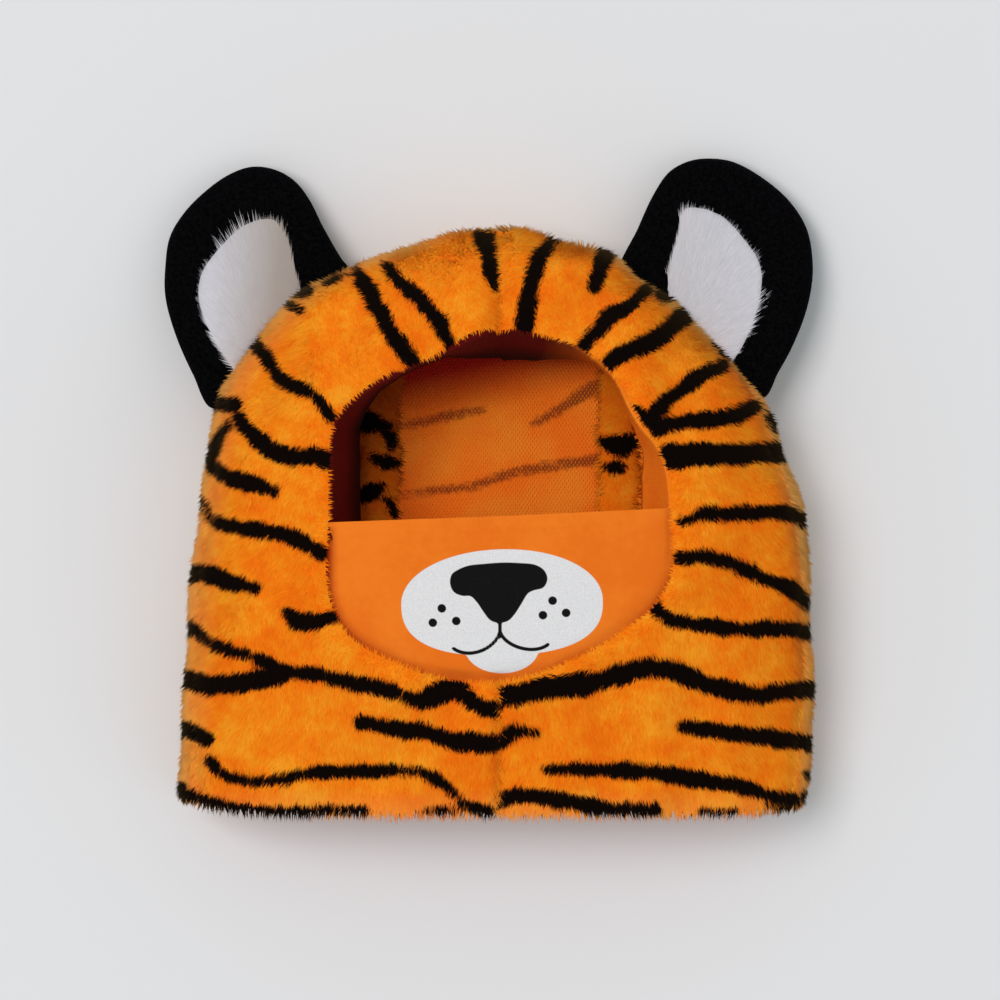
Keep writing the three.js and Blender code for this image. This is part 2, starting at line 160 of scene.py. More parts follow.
# Stripes of the front, charted on the photograph: widths at the two ends and in the middle, then the path.
STRIPES = [
    ((11, 16, 15), [(356, 268), (375, 305), (391, 334), (414, 364)]),
    ((9, 14, 12), [(386, 265), (402, 285), (425, 305), (440, 323), (451, 350)]),
    ((22, 17, 5), [(482, 224), (487, 248), (492, 271), (496, 288)]),
    ((11, 13, 9), [(250, 338), (265, 358), (280, 378), (300, 390), (316, 396), (332, 418)]),
    ((3, 7, 4), [(285, 303), (293, 308), (300, 312)]),
    ((2, 4, 2), [(324, 283), (335, 279), (346, 274)]),
    ((8, 14, 8), [(213, 402), (224, 404), (235, 406)]),
    ((11, 16, 17), [(238, 418), (255, 438), (273, 452), (291, 457), (315, 457), (331, 460)]),
    ((8, 10, 8), [(228, 426), (220, 437), (213, 450), (210, 464)]),
    ((12, 16, 11), [(214, 468), (233, 479), (255, 485), (274, 492)]),
    ((8, 14, 13), [(201, 501), (210, 517), (224, 524), (249, 529), (273, 532), (291, 537), (303, 544),
                   (322, 553)]),
    ((15, 17, 10), [(188, 572), (207, 573), (226, 581), (255, 588)]),
    ((12, 17, 10), [(288, 613), (298, 622), (314, 623), (333, 616)]),
    ((10, 13, 16), [(189, 627), (207, 641), (229, 651), (253, 656), (274, 666), (296, 673), (327, 677),
                    (355, 683), (378, 688), (393, 691), (419, 700), (449, 692), (463, 694), (478, 706),
                    (493, 710)]),
    ((8, 12, 7), [(428, 692), (446, 684), (466, 686)]),
    ((16, 18, 12), [(186, 679), (211, 686), (244, 682), (272, 677), (296, 673)]),
    ((14, 15, 10), [(182, 729), (194, 732), (207, 740)]),
    ((8, 11, 9), [(210, 762), (220, 773), (235, 780), (262, 782), (290, 779), (318, 771), (355, 772),
                  (405, 770), (428, 773), (449, 788), (466, 805), (487, 813)]),
    ((13, 15, 8), [(176, 796), (198, 799), (220, 806), (244, 812), (272, 815), (300, 813), (336, 810),
                   (365, 812)]),
    ((4, 6, 4), [(419, 814), (434, 810), (463, 811)]),
    ((11, 15, 16), [(361, 722), (390, 729), (428, 732), (452, 741), (478, 744), (495, 744)]),
    ((12, 16, 15), [(556, 236), (542, 254), (535, 271), (529, 290), (525, 308), (524, 333)]),
    ((18, 14, 9), [(606, 250), (599, 271), (594, 290)]),
    ((10, 14, 11), [(646, 290), (628, 306), (609, 316), (598, 331), (583, 348)]),
    ((19, 17, 13), [(682, 318), (664, 334), (641, 347), (614, 357), (605, 370)]),
    ((14, 15, 12), [(721, 366), (694, 382), (671, 397), (648, 418)]),
    ((12, 15, 13), [(627, 411), (639, 415), (652, 424)]),
    ((16, 15, 12), [(753, 408), (737, 416), (719, 420), (694, 421), (676, 424), (656, 431)]),
    ((17, 19, 23), [(785, 452), (749, 454), (725, 456), (701, 456), (668, 457)]),
    ((12, 14, 10), [(803, 519), (779, 512), (749, 514), (719, 514), (701, 515), (682, 522)]),
    ((12, 13, 12), [(680, 559), (700, 556), (729, 562), (759, 576), (788, 588), (807, 603)]),
    ((12, 13, 13), [(651, 604), (668, 620), (700, 625), (744, 629), (773, 628), (810, 632)]),
    ((20, 19, 15), [(502, 697), (539, 688), (583, 685), (612, 676), (641, 667), (671, 670), (700, 682),
                    (729, 691), (759, 697), (788, 692), (812, 689)]),
    ((9, 13, 6), [(502, 692), (550, 683), (590, 677), (630, 668)]),
    ((10, 14, 14), [(682, 726), (715, 730), (744, 736), (773, 738), (810, 744)]),
    ((14, 13, 8), [(501, 741), (515, 731), (536, 732)]),
    ((9, 15, 11), [(547, 770), (583, 769), (627, 770), (671, 774), (715, 782), (750, 789), (773, 799),
                   (795, 800)]),
    ((14, 16, 13), [(499, 799), (524, 795), (568, 802), (612, 811), (656, 811)]),
    ((5, 8, 5), [(767, 807), (780, 811), (793, 810)]),
    ((5, 7, 4), [(806, 774), (811, 777), (815, 780)]),
    ((3, 5, 3), [(766, 411), (771, 420), (776, 430)]),
    ((5, 9, 5), [(716, 342), (724, 348), (731, 354)]),
    ((6, 8, 5), [(700, 812), (716, 814), (733, 813)]),
]
# The faint wrong side of the stripes, inside the back.
INNER_STRIPES = [
    ((12, 16, 12), [(393, 428), (440, 417), (484, 409)]),
    ((12, 18, 26), [(534, 424), (563, 407), (590, 389), (622, 380)]),
    ((12, 15, 17), [(401, 495), (440, 490), (475, 486), (511, 473), (556, 465), (600, 459)]),
    ((4, 6, 4), [(401, 473), (412, 473), (423, 474)]),
]
# Stripes of the plush edges of the back's seams.
ALLOWANCE_STRIPES = [
    ((16, 20, 6), [(354, 423), (368, 421), (388, 427)]),
    ((6, 15, 10), [(373, 456), (384, 461), (397, 464)]),
    ((12, 19, 5), [(356, 498), (368, 495), (384, 487)]),
    ((5, 8, 6), [(386, 432), (392, 440), (390, 450)]),
    ((4, 9, 6), [(383, 498), (391, 505), (394, 515)]),
    ((10, 22, 12), [(603, 441), (618, 448), (634, 440)]),
    ((7, 13, 7), [(605, 468), (613, 467), (621, 469)]),
]
# Stripes of the sides and back, from the outline inward: side, y at the outline, reach, drop and width.
BACK_STRIPES = [
    (-1, 36, 74, -9, 6), (-1, 15, 112, -4, 6.5), (-1, -6, 60, -10, 6), (-1, -35, 122, -3, 7),
    (-1, -59, 70, -9, 5.5), (-1, -79, 128, -2, 7), (-1, -101, 58, -5, 6), (-1, -126, 118, 5, 5.5),
    (-1, 62, 96, 3, 6), (-1, 84, 52, 8, 5.5),
    (1, 30, 66, -6, 6), (1, 16, 118, 5, 7), (1, -13, 70, -6, 6), (1, -48, 120, 6, 6.5),
    (1, -60, 52, -8, 5.5), (1, -84, 126, 1, 7), (1, -107, 74, -7, 6), (1, -130, 110, 6, 5.5),
    (1, 58, 92, 6, 6), (1, 82, 54, 9, 5.5),
]
STRIPE_CURL = 5  # how far a stripe of the back waves about its line

# The muzzle print, in the photograph's pixels for its places and in millimetres for its sizes.
MUZZLE = {
    "middle": (502, 602), "half_width": 42.2, "half_height": 22.2, "tilt": math.radians(1.6),
    "above": 2.05, "below": 2.55,  # how square the white is, 2 for an ellipse
    "chin": (502, 648), "chin_width": 15.4, "chin_height": 10.4, "line": 1.5, "freckle": 1.85,
}
NOSE = [
    (459, 569), (468, 565.5), (485, 563.5), (503, 562.3), (520, 562.8), (535, 564.5), (544, 570),
    (547.3, 578.5), (543.5, 587), (533, 590.3), (528, 593), (521, 604), (514.5, 614), (508, 620.5),
    (499, 622.5), (490.5, 620), (483.5, 611.5), (477, 602), (470.5, 595.8), (463, 595.6), (454, 591.8),
    (450.2, 583), (452, 574),
]
MOUTH = [
    [(499.7, 618), (500, 623), (500, 627), (500, 631.5)],
    [(500, 631), (490, 645.5), (472, 652.6), (453.5, 648)],
    [(500, 631), (511, 643.5), (530, 649), (548, 644)],
]
FRECKLES = [(442, 608), (433, 622.3), (456.4, 620.6), (552.4, 600.3), (565.9, 612.5), (542.8, 614.8)]

# How the pile lies: 0 for hairs that stand straight up, 1 for hairs that lie flat.
LAY = {"top": 0.62, "crown": 0.82, "side": 0.79, "rim": 0.60, "hem": 0.90, "under": 0.97}
# Where the lay changes: the z and the y of the cloth's own direction, and the height over the hem.
LAY_FROM = {"side": (0.25, 0.8), "crown": (0.08, 0.4), "hem": (4, 13)}
# The front pile: how far it parts into tufts, by y and toward the opening, how much shorter it is there
# and longer where it lies flat, and how much it swirls at the hem and further up.
TUFTS = {"y": (HEM, HEM + 12, -60, 30), "share": (0.1, 0.5, 0.5, 0.8), "rim": 0.85}
LONG = {"rim": 0.42, "flat": 0.3}
SWIRL = {"over_hem": 25, "hem": 0.08, "rest": 0.35}
RIM_WIDTH = 8  # how far from the opening the pile begins to turn toward it
RIM_AIM = 6  # how far inside the opening the hairs at its edge point to
OVERHANG = {"side": 1.2, "crown": 1.9, "hem": 4.6}  # how far the hairs reach past the cloth's edges
STRIPE_GAIN = 0.75  # how much wider a stripe's dye spreads to each side than it was charted
OUTSIDE = -20.0  # stands for a place far outside every stripe

# The plush's soft lumps, which fade near the floor, its creases along the seams and its rolled edge.
LUMP = {"size": 46, "height": 1.1, "fade": 12}
SEAM_CREASE = {"depth": 2.4, "width": 3.6, "turn": 0.3}
SIDE_CREASE = {"depth": 1.2, "turn": 0.09}
RIM_ROLL = {"depth": 1.3, "width": 5.0}


# Form

def column(place, index):
    """One value of the section table between its rows, smoothed through the four nearest."""
    place = np.clip(np.asarray(place, float), 0, LAST)
    i = np.minimum(place.astype(int), LAST - 1)
    t = place - i
    a, b, c, d = (SECTIONS[np.clip(i + k, 0, LAST), index] for k in (-1, 0, 1, 2))
    value = 0.5 * (2 * b + (c - a) * t + (2 * a - 5 * b + 4 * c - d) * t ** 2
                   + (3 * b - a - 3 * c + d) * t ** 3)
    return np.maximum(value, 0) if index == LIFT else value


PLACES = np.linspace(0, LAST, 2001)
PLACE_YS = np.maximum.accumulate(column(PLACES, Y))


def waves(points, size, seed, count=7):
    """Smooth seeded noise of about -1 to 1 at the points, with hollows about this size apart."""
    rng = np.random.default_rng(seed)
    ways = rng.normal(size=(count, 3))
    ways /= np.linalg.norm(ways, axis=1)[:, None]
    rates = 2 * math.pi / size * rng.uniform(0.6, 1.5, count)
    turns = rng.uniform(0, 2 * math.pi, count)
    points = np.asarray(points, float)
    return sum(np.sin(points @ w * r + t) for w, r, t in zip(ways, rates, turns)) / math.sqrt(count)


def hood_point(place, turn, depth=0.0):
    """A point of the hood's form. turn runs over the front layer, from 0 at the wearer's left to pi, then
    on round the sides and under the hood to pi + 2 and to -2. depth moves the point inward."""
    place, turn, depth = np.broadcast_arrays(*(np.asarray(x, float) for x in (place, turn, depth)))
    left, right = column(place, LEFT), column(place, RIGHT)
    side = column(place, SIDE)
    half = np.maximum((right - left) / 2 - depth, LEAST)
    top = np.maximum(column(place, TOP) - depth, side + LEAST)
    floor = np.minimum(column(place, LIFT) + depth, side - LEAST)
    reach = np.minimum(CORNER_REACH, half * NARROW_CORNER)
    arch = np.clip(turn, 0, math.pi)
    across = half * np.sign(np.cos(arch)) * np.abs(np.cos(arch)) ** (2 / TOP_SHAPE)
    z = side + (top - side) * np.sin(arch) ** (2 / TOP_SHAPE)
    under = np.where(turn < 0, -turn, turn - math.pi)
    sign = np.where(turn < math.pi / 2, 1.0, -1.0)
    angle = np.clip(under, 0, 1) * math.pi / 2
    round_x = sign * (half - reach * (1 - np.cos(angle)))
    round_z = side - (side - floor) * np.sin(angle)
    flat_x = sign * (half - reach) * (1 - np.clip(under - 1, 0, 1))
    across = np.where(under > 1, flat_x, np.where(under > 0, round_x, across))
    z = np.where(under > 1, floor, np.where(under > 0, round_z, z))
    y = HEM + (column(place, Y) - HEM) * (CROWN - HEM - depth) / (CROWN - HEM)
    near = np.clip((-y - HEM_CORNER["from"]) / (HEM_CORNER["to"] - HEM_CORNER["from"]), 0, 1)
    rise = np.where(across < 0, HEM_CORNER["right"], HEM_CORNER["left"]) * near ** 2 * (3 - 2 * near)
    y = y + rise * np.abs(across / half) ** HEM_CORNER["power"]
    return np.stack([(left + right) / 2 + across, y, z], -1)


def place_at(y, depth=0.0):
    return np.interp(HEM + (np.asarray(y, float) - HEM) * (CROWN - HEM) / (CROWN - HEM - depth),
                     PLACE_YS, PLACES)


def turn_at(x, place, depth=0.0):
    """Where round a section the front layer passes a given x."""
    left, right = column(place, LEFT), column(place, RIGHT)
    half = np.maximum((right - left) / 2 - depth, LEAST)
    across = np.clip((np.asarray(x, float) - (left + right) / 2) / half, -1, 1)
    return np.arccos(np.sign(across) * np.abs(across) ** (TOP_SHAPE / 2))


def seam_turn(place, side):
    """Where round a section its side seam lies, for the wearer's left (side 1) or right (side -1)."""
    middle, top = column(place, SIDE), column(place, TOP)
    seam, floor = column(place, SEAM), column(place, LIFT)
    above = np.arcsin(np.clip((seam - middle) / (top - middle), 0, 1) ** (TOP_SHAPE / 2))
    below = np.arcsin(np.clip((middle - seam) / (middle - floor), 0, 1)) / (math.pi / 2)
    turn = np.where(seam >= middle, above, -below)
    return turn if side > 0 else math.pi - turn


def on_front(x, y, depth=0.0):
    place = place_at(y, depth)
    return hood_point(place, turn_at(x, place, depth), depth)


def unit(vectors):
    return vectors / np.maximum(np.linalg.norm(vectors, axis=-1, keepdims=True), 1e-9)


def closed_curve(points, count):
    """A smooth closed curve through the points, as count places evenly along it, from the first point."""
    points = np.asarray(points, float)
    dense = []
    for i in range(len(points)):
        p = [points[(i + k) % len(points)] for k in (-1, 0, 1, 2)]
        knots = np.cumsum([0] + [np.linalg.norm(b - a) ** 0.5 for a, b in zip(p, p[1:])])
        for t in np.linspace(knots[1], knots[2], 24, endpoint=False):
            mix = lambda a, b, ta, tb: (a * (tb - t) + b * (t - ta)) / (tb - ta)
            a = [mix(p[k], p[k + 1], knots[k], knots[k + 1]) for k in range(3)]
            b = [mix(a[k], a[k + 1], knots[k], knots[k + 2]) for k in range(2)]
            dense.append(mix(b[0], b[1], knots[1], knots[2]))
    return along(np.array(dense + dense[:1]), np.linspace(0, 1, count, endpoint=False))


def along(path, shares):
    """Points at these shares of a path's length."""
    path = np.asarray(path, float)
    steps = np.linalg.norm(np.diff(path, axis=0), axis=1)
    walked = np.concatenate([[0], np.cumsum(steps)])
    return np.stack([np.interp(np.asarray(shares) * walked[-1], walked, c) for c in path.T], -1)


def from_photo(pixels):
    """Plan places in millimetres of pixels of the photograph."""
    return (np.array(pixels, float) - MIDDLE) * (PIXEL, -PIXEL)


def distance_inside(points, outline):
    """How far each plan point lies inside a closed outline, below zero outside it."""
    a, b = outline, np.roll(outline, -1, axis=0)
    best = np.full(len(points), np.inf)
    inside = np.zeros(len(points), bool)
    for p, q in zip(a, b):
        d = q - p
        t = np.clip(((points - p) @ d) / max(d @ d, 1e-9), 0, 1)
        best = np.minimum(best, np.linalg.norm(points - p - t[:, None] * d, axis=1))
        crosses = (p[1] > points[:, 1]) != (q[1] > points[:, 1])
        with np.errstate(divide="ignore", invalid="ignore"):
            x = p[0] + (points[:, 1] - p[1]) * d[0] / d[1]
        inside ^= crosses & (points[:, 0] < x)
    return np.where(inside, best, -best)


OPENING_EDGE = closed_curve(OPENING, 480)


def outward_of(edge):
    """The plan direction away from the opening at each point of its edge."""
    way = unit(np.roll(edge, -1, axis=0) - np.roll(edge, 1, axis=0))
    return np.stack([-way[:, 1], way[:, 0]], -1)


def cloth_edge(edge):
    """Where the plush is cut for the opening: behind the edge that is seen, which the hairs reach."""
    outward = outward_of(edge)
    back = OVERHANG["side"] + (OVERHANG["crown"] - OVERHANG["side"]) * np.clip(outward[:, 1], 0, 1)
    return edge + outward * back[:, None]


PLUSH_EDGE = cloth_edge(OPENING_EDGE)


# Stripes

def segments(path, half):
    """A path as rows of start, end and the half width at each."""
    return list(zip(path[:-1], path[1:], half[:-1], half[1:]))


def chart(stripes):
    """A charted list of stripes as segments in millimetres."""
    rows = []
    for (first, middle, last), path in stripes:
        smooth = along(from_photo(path), np.linspace(0, 1, 2 * len(path)))
        share = np.linspace(0, 1, len(smooth))
        rows += segments(smooth, np.interp(share, [0, 0.5, 1], [first, middle, last]) * PIXEL / 2)
    return rows


def back_chart():
    """The stripes of the sides and back, on the cloth rolled out flat beyond the outline."""
    rows = []
    share = np.linspace(0, 1, 12)
    for k, (side, y, reach, drop, width) in enumerate(BACK_STRIPES):
        edge = float(column(place_at(y), RIGHT if side > 0 else LEFT))
        curl = STRIPE_CURL * np.sin(share * 5 + k * 1.7) * share
        path = np.stack([edge + side * reach * share, y + drop * share + curl], -1)
        rows += segments(path, width / 2 * np.interp(share, [0, 0.4, 1], [1, 1, 0.3]))
    return rows


def stripe_depth(plan, rows):
    """How far inside a stripe each plan point lies, in millimetres, below zero outside all of them."""
    best = np.full(len(plan), OUTSIDE)
    for a, b, wa, wb in rows:
        d = b - a
        t = np.clip(((plan - a) @ d) / max(d @ d, 1e-9), 0, 1)
        gap = np.linalg.norm(plan - a - t[:, None] * d, axis=1)
        best = np.maximum(best, wa + (wb - wa) * t - gap)
    return best


# The raster that the stripes are laid on, in millimetres: its lower left corner, size and step, and how
# far outside a stripe it still tells how near the stripe is.
RASTER = {"corner": (-290, -150), "size": (580, 280), "step": 0.5, "reach": 6}


def raster_of(rows):
    """How far inside a stripe each place of the plan lies, as a raster."""
    step, reach = RASTER["step"], RASTER["reach"]
    wide, high = (int(v / step) + 1 for v in RASTER["size"])
    found = np.full((high, wide), -float(reach))
    xs = RASTER["corner"][0] + step * np.arange(wide)
    ys = RASTER["corner"][1] + step * np.arange(high)
    for a, b, wa, wb in rows:
        low, high = np.minimum(a, b) - max(wa, wb) - reach, np.maximum(a, b) + max(wa, wb) + reach
        columns = slice(*np.searchsorted(xs, (low[0], high[0])))
        lines = slice(*np.searchsorted(ys, (low[1], high[1])))
        plan = np.stack(np.meshgrid(xs[columns], ys[lines]), -1)
        part = stripe_depth(plan.reshape(-1, 2), [(a, b, wa, wb)]).reshape(plan.shape[:2])
        found[lines, columns] = np.maximum(found[lines, columns], part)
    return found


def read_raster(raster, plan):
    at = (plan - RASTER["corner"]) / RASTER["step"]
    at = np.clip(at, 0, np.array(raster.shape)[::-1] - 1.001)
    i, j = at[:, 0].astype(int), at[:, 1].astype(int)
    u, v = at[:, 0] - i, at[:, 1] - j
    below = (1 - u) * raster[j, i] + u * raster[j, i + 1]
    above = (1 - u) * raster[j + 1, i] + u * raster[j + 1, i + 1]
    return (1 - v) * below + v * above


def half_of(rows, side):
    """The segments on one side of the centre seam."""
    return [r for r in rows if (r[0][0] + r[1][0] - 2 * CENTRE_SEAM) * side > 0]


FRONT_ROWS, BACK_ROWS = chart(STRIPES), back_chart()
STRIPES_OF = {side: raster_of(half_of(FRONT_ROWS, side) + half_of(BACK_ROWS, side)) for side in (-1, 1)}
STRIPES_OF[0] = raster_of(BACK_ROWS)
INNER_ROWS = chart(INNER_STRIPES)
ALLOWANCE_RASTER = raster_of(chart(ALLOWANCE_STRIPES))


def bleach_at(plan):
    """How pale the pile is painted, from 0 to 1: past the side seams, toward them, and along the hem. The
    paleness is painted sheen, of pile seen edge-on in the light.
    """
    place = place_at(plan[:, 1])
    right = np.interp(plan[:, 0] - column(place, LEFT), [0, 2.4, 3.4, 14], [0.75, 0.6, 0.32, 0])
    left = np.interp(column(place, RIGHT) - plan[:, 0], [0, 2.8, 3.8, 9], [0.85, 0.75, 0.2, 0])
    left = left * np.interp(plan[:, 1], [-60, -20], [0.7, 1])
    hem = np.interp(plan[:, 1] - HEM, [0, 14], [0.28, 0])
    return np.maximum(np.maximum(left, right), hem)


# Meshes

def placed(name, data):
    """A new object of the scene."""
    thing = bpy.data.objects.new(name, data)
    bpy.context.scene.collection.objects.link(thing)
    return thing


def mesh_from(name, points, faces):
    """A piece from points in millimetres, with its faces turned outward."""
    mesh = bpy.data.meshes.new(name)
    mesh.from_pydata((np.asarray(points) * MM).tolist(), [], [list(f) for f in faces])
    shape = bmesh.new()
    shape.from_mesh(mesh)
    bmesh.ops.recalc_face_normals(shape, faces=shape.faces)
    shape.to_mesh(mesh)
    shape.free()
    mesh.shade_smooth()
    return placed(name, mesh)


def plain_mesh(piece):
    """The mesh that a piece's modifier makes. The modifier is removed."""
    graph = bpy.context.evaluated_depsgraph_get()
    mesh = bpy.data.meshes.new_from_object(piece.evaluated_get(graph), preserve_all_data_layers=True,
                                           depsgraph=graph)
    piece.modifiers.clear()
    mesh.shade_smooth()
    return mesh


def grid_faces(rows, columns, start=0, wrap=False):
    faces = []
    for i in range(rows - 1):
        for j in range(columns if wrap else columns - 1):
            a, b = start + i * columns + j, start + i * columns + (j + 1) % columns
            faces.append((a, b, b + columns, a + columns))
    return faces


def sheet_mesh(name, outer, inner, faces=None):
    """A closed sheet of cloth between two grids of points, joined along every border. The outer grid's points
    come first. Points that no face uses are left out."""
    rows, columns = outer.shape[:2]
    faces = np.array(grid_faces(rows, columns) if faces is None else faces)
    used = np.unique(faces)
    renumber = np.zeros(rows * columns, int)
    renumber[used] = np.arange(len(used))
    faces = [tuple(int(v) for v in f) for f in renumber[faces]]
    count = len(used)
    rim = {}
    for f in faces:
        for a, b in zip(f, f[1:] + f[:1]):
            if rim.pop((b, a), None) is None:
                rim[(a, b)] = True
    under = [tuple(v + count for v in f) for f in faces]
    sides = [(a, b, b + count, a + count) for a, b in rim]
    points = np.concatenate([outer.reshape(-1, 3)[used], inner.reshape(-1, 3)[used]])
    return mesh_from(name, points, faces + under + sides)


def dress(piece, outside, inside, count):
    """One finish on the faces of a sheet's outer grid and another on the rest."""
    piece.data.materials.append(outside)
    piece.data.materials.append(inside)
    for p in piece.data.polygons:
        p.material_index = 0 if min(p.vertices) < count else 1


def store(piece, name, values, domain="POINT"):
    values = np.asarray(values, np.float32)
    kind = "FLOAT" if values.ndim == 1 else "FLOAT_VECTOR"
    layer = piece.data.attributes.get(name) or piece.data.attributes.new(name, kind, domain)
    layer.data.foreach_set("value" if kind == "FLOAT" else "vector", values.ravel())


def stored(piece, name):
    """The values of one of a piece's attributes."""
    layer = piece.data.attributes[name]
    width, word = (3, "vector") if layer.data_type == "FLOAT_VECTOR" else (1, "value")
    found = np.empty(len(layer.data) * width, np.float32)
    layer.data.foreach_get(word, found)
    return found.reshape(-1, width) if width > 1 else found


def vertex_values(piece, word):
    found = np.empty(len(piece.data.vertices) * 3, np.float32)
    piece.data.vertices.foreach_get(word, found)
    return found.reshape(-1, 3)


def mesh_points(piece):
    return vertex_values(piece, "co") / MM


def mesh_normals(piece):
    return vertex_values(piece, "normal")


def with_z(plan, z=0.0):
    """Plan points of any grid at these heights."""
    return np.concatenate([plan, np.broadcast_to(z, plan.shape[:-1])[..., None]], -1)


# Node trees

class Nodes:
    """Nodes under construction, joined by short calls."""

    def __init__(self, tree):
        self.nodes, self.links = tree.nodes, tree.links

    def add(self, kind, **settings):
        node = self.nodes.new(kind)
        for key, value in settings.items():
            setattr(node, key, value)
        return node

    def put(self, value, socket):
        if isinstance(value, bpy.types.NodeSocket):
            self.links.new(value, socket)
        elif isinstance(value, tuple):
            socket.default_value = (*value, 1) if len(value) == 3 and socket.type == "RGBA" else value
        else:
            socket.default_value = value

    def math(self, operation, *values):
        node = self.add("ShaderNodeMath", operation=operation)
        for value, socket in zip(values, node.inputs):
            self.put(value, socket)
        return node.outputs[0]

    def place(self, turn=0.0):
        """Object coordinates, turned about Z."""
        mapping = self.add("ShaderNodeMapping")
        mapping.inputs["Rotation"].default_value = (0, 0, turn)
        self.links.new(self.add("ShaderNodeTexCoord").outputs["Object"], mapping.inputs["Vector"])
        return mapping.outputs[0]

    def noise(self, size, detail=2.0):
        """Cloudy noise with features about size millimetres apart, from 0 to 1."""
        node = self.add("ShaderNodeTexNoise")
        self.put(self.place(), node.inputs["Vector"])
        self.put(self.math("DIVIDE", 1 / MM, size), node.inputs["Scale"])
        node.inputs["Detail"].default_value = detail
        return node.outputs["Fac"]

    def bands(self, pitch, turn):
        """Even bands this many millimetres apart."""
        wave = self.add("ShaderNodeTexWave", wave_type="BANDS", bands_direction="X")
        self.put(self.place(turn), wave.inputs["Vector"])
        self.put(self.math("DIVIDE", 2 * math.pi / (20 * MM), pitch), wave.inputs["Scale"])
        return wave.outputs["Fac"]

    def between(self, value, low, high, first=0.0, last=1.0):
        node = self.add("ShaderNodeMapRange", interpolation_type="SMOOTHSTEP")
        for v, name in ((value, "Value"), (low, "From Min"), (high, "From Max"), (first, "To Min"),
                        (last, "To Max")):
            self.put(v, node.inputs[name])
        return node.outputs[0]

    def mix(self, share, a, b, blend="MIX"):
        node = self.add("ShaderNodeMix", data_type="RGBA", blend_type=blend)
        self.put(share, node.inputs[0])
        self.put(a, node.inputs[6])
        self.put(b, node.inputs[7])
        return node.outputs[2]

    def use(self, group, **values):
        """An effect, placed with its own values. Gives its outputs."""
        node = self.add("ShaderNodeGroup", node_tree=group)
        for name, value in values.items():
            self.put(value, node.inputs[name])
        return node.outputs


# Pile

# What a pile is grown from, with the kind of each input, and the cone that each hair is.
PILE_INPUTS = {"Geometry": "Geometry", "Density": "Float", "Length": "Float", "Width": "Float",
               "Ruffle": "Float", "Clump": "Float", "Clump size": "Float", "Seed": "Int",
               "Finish": "Material"}
HAIR_SHAPE = {"Vertices": 3, "Side Segments": 1, "Fill Segments": 1, "Radius Top": 0.0,
              "Radius Bottom": 0.5, "Depth": 1.0}
HAIR_POINTS = HAIR_SHAPE["Vertices"] + 1  # the corners of its root and its tip


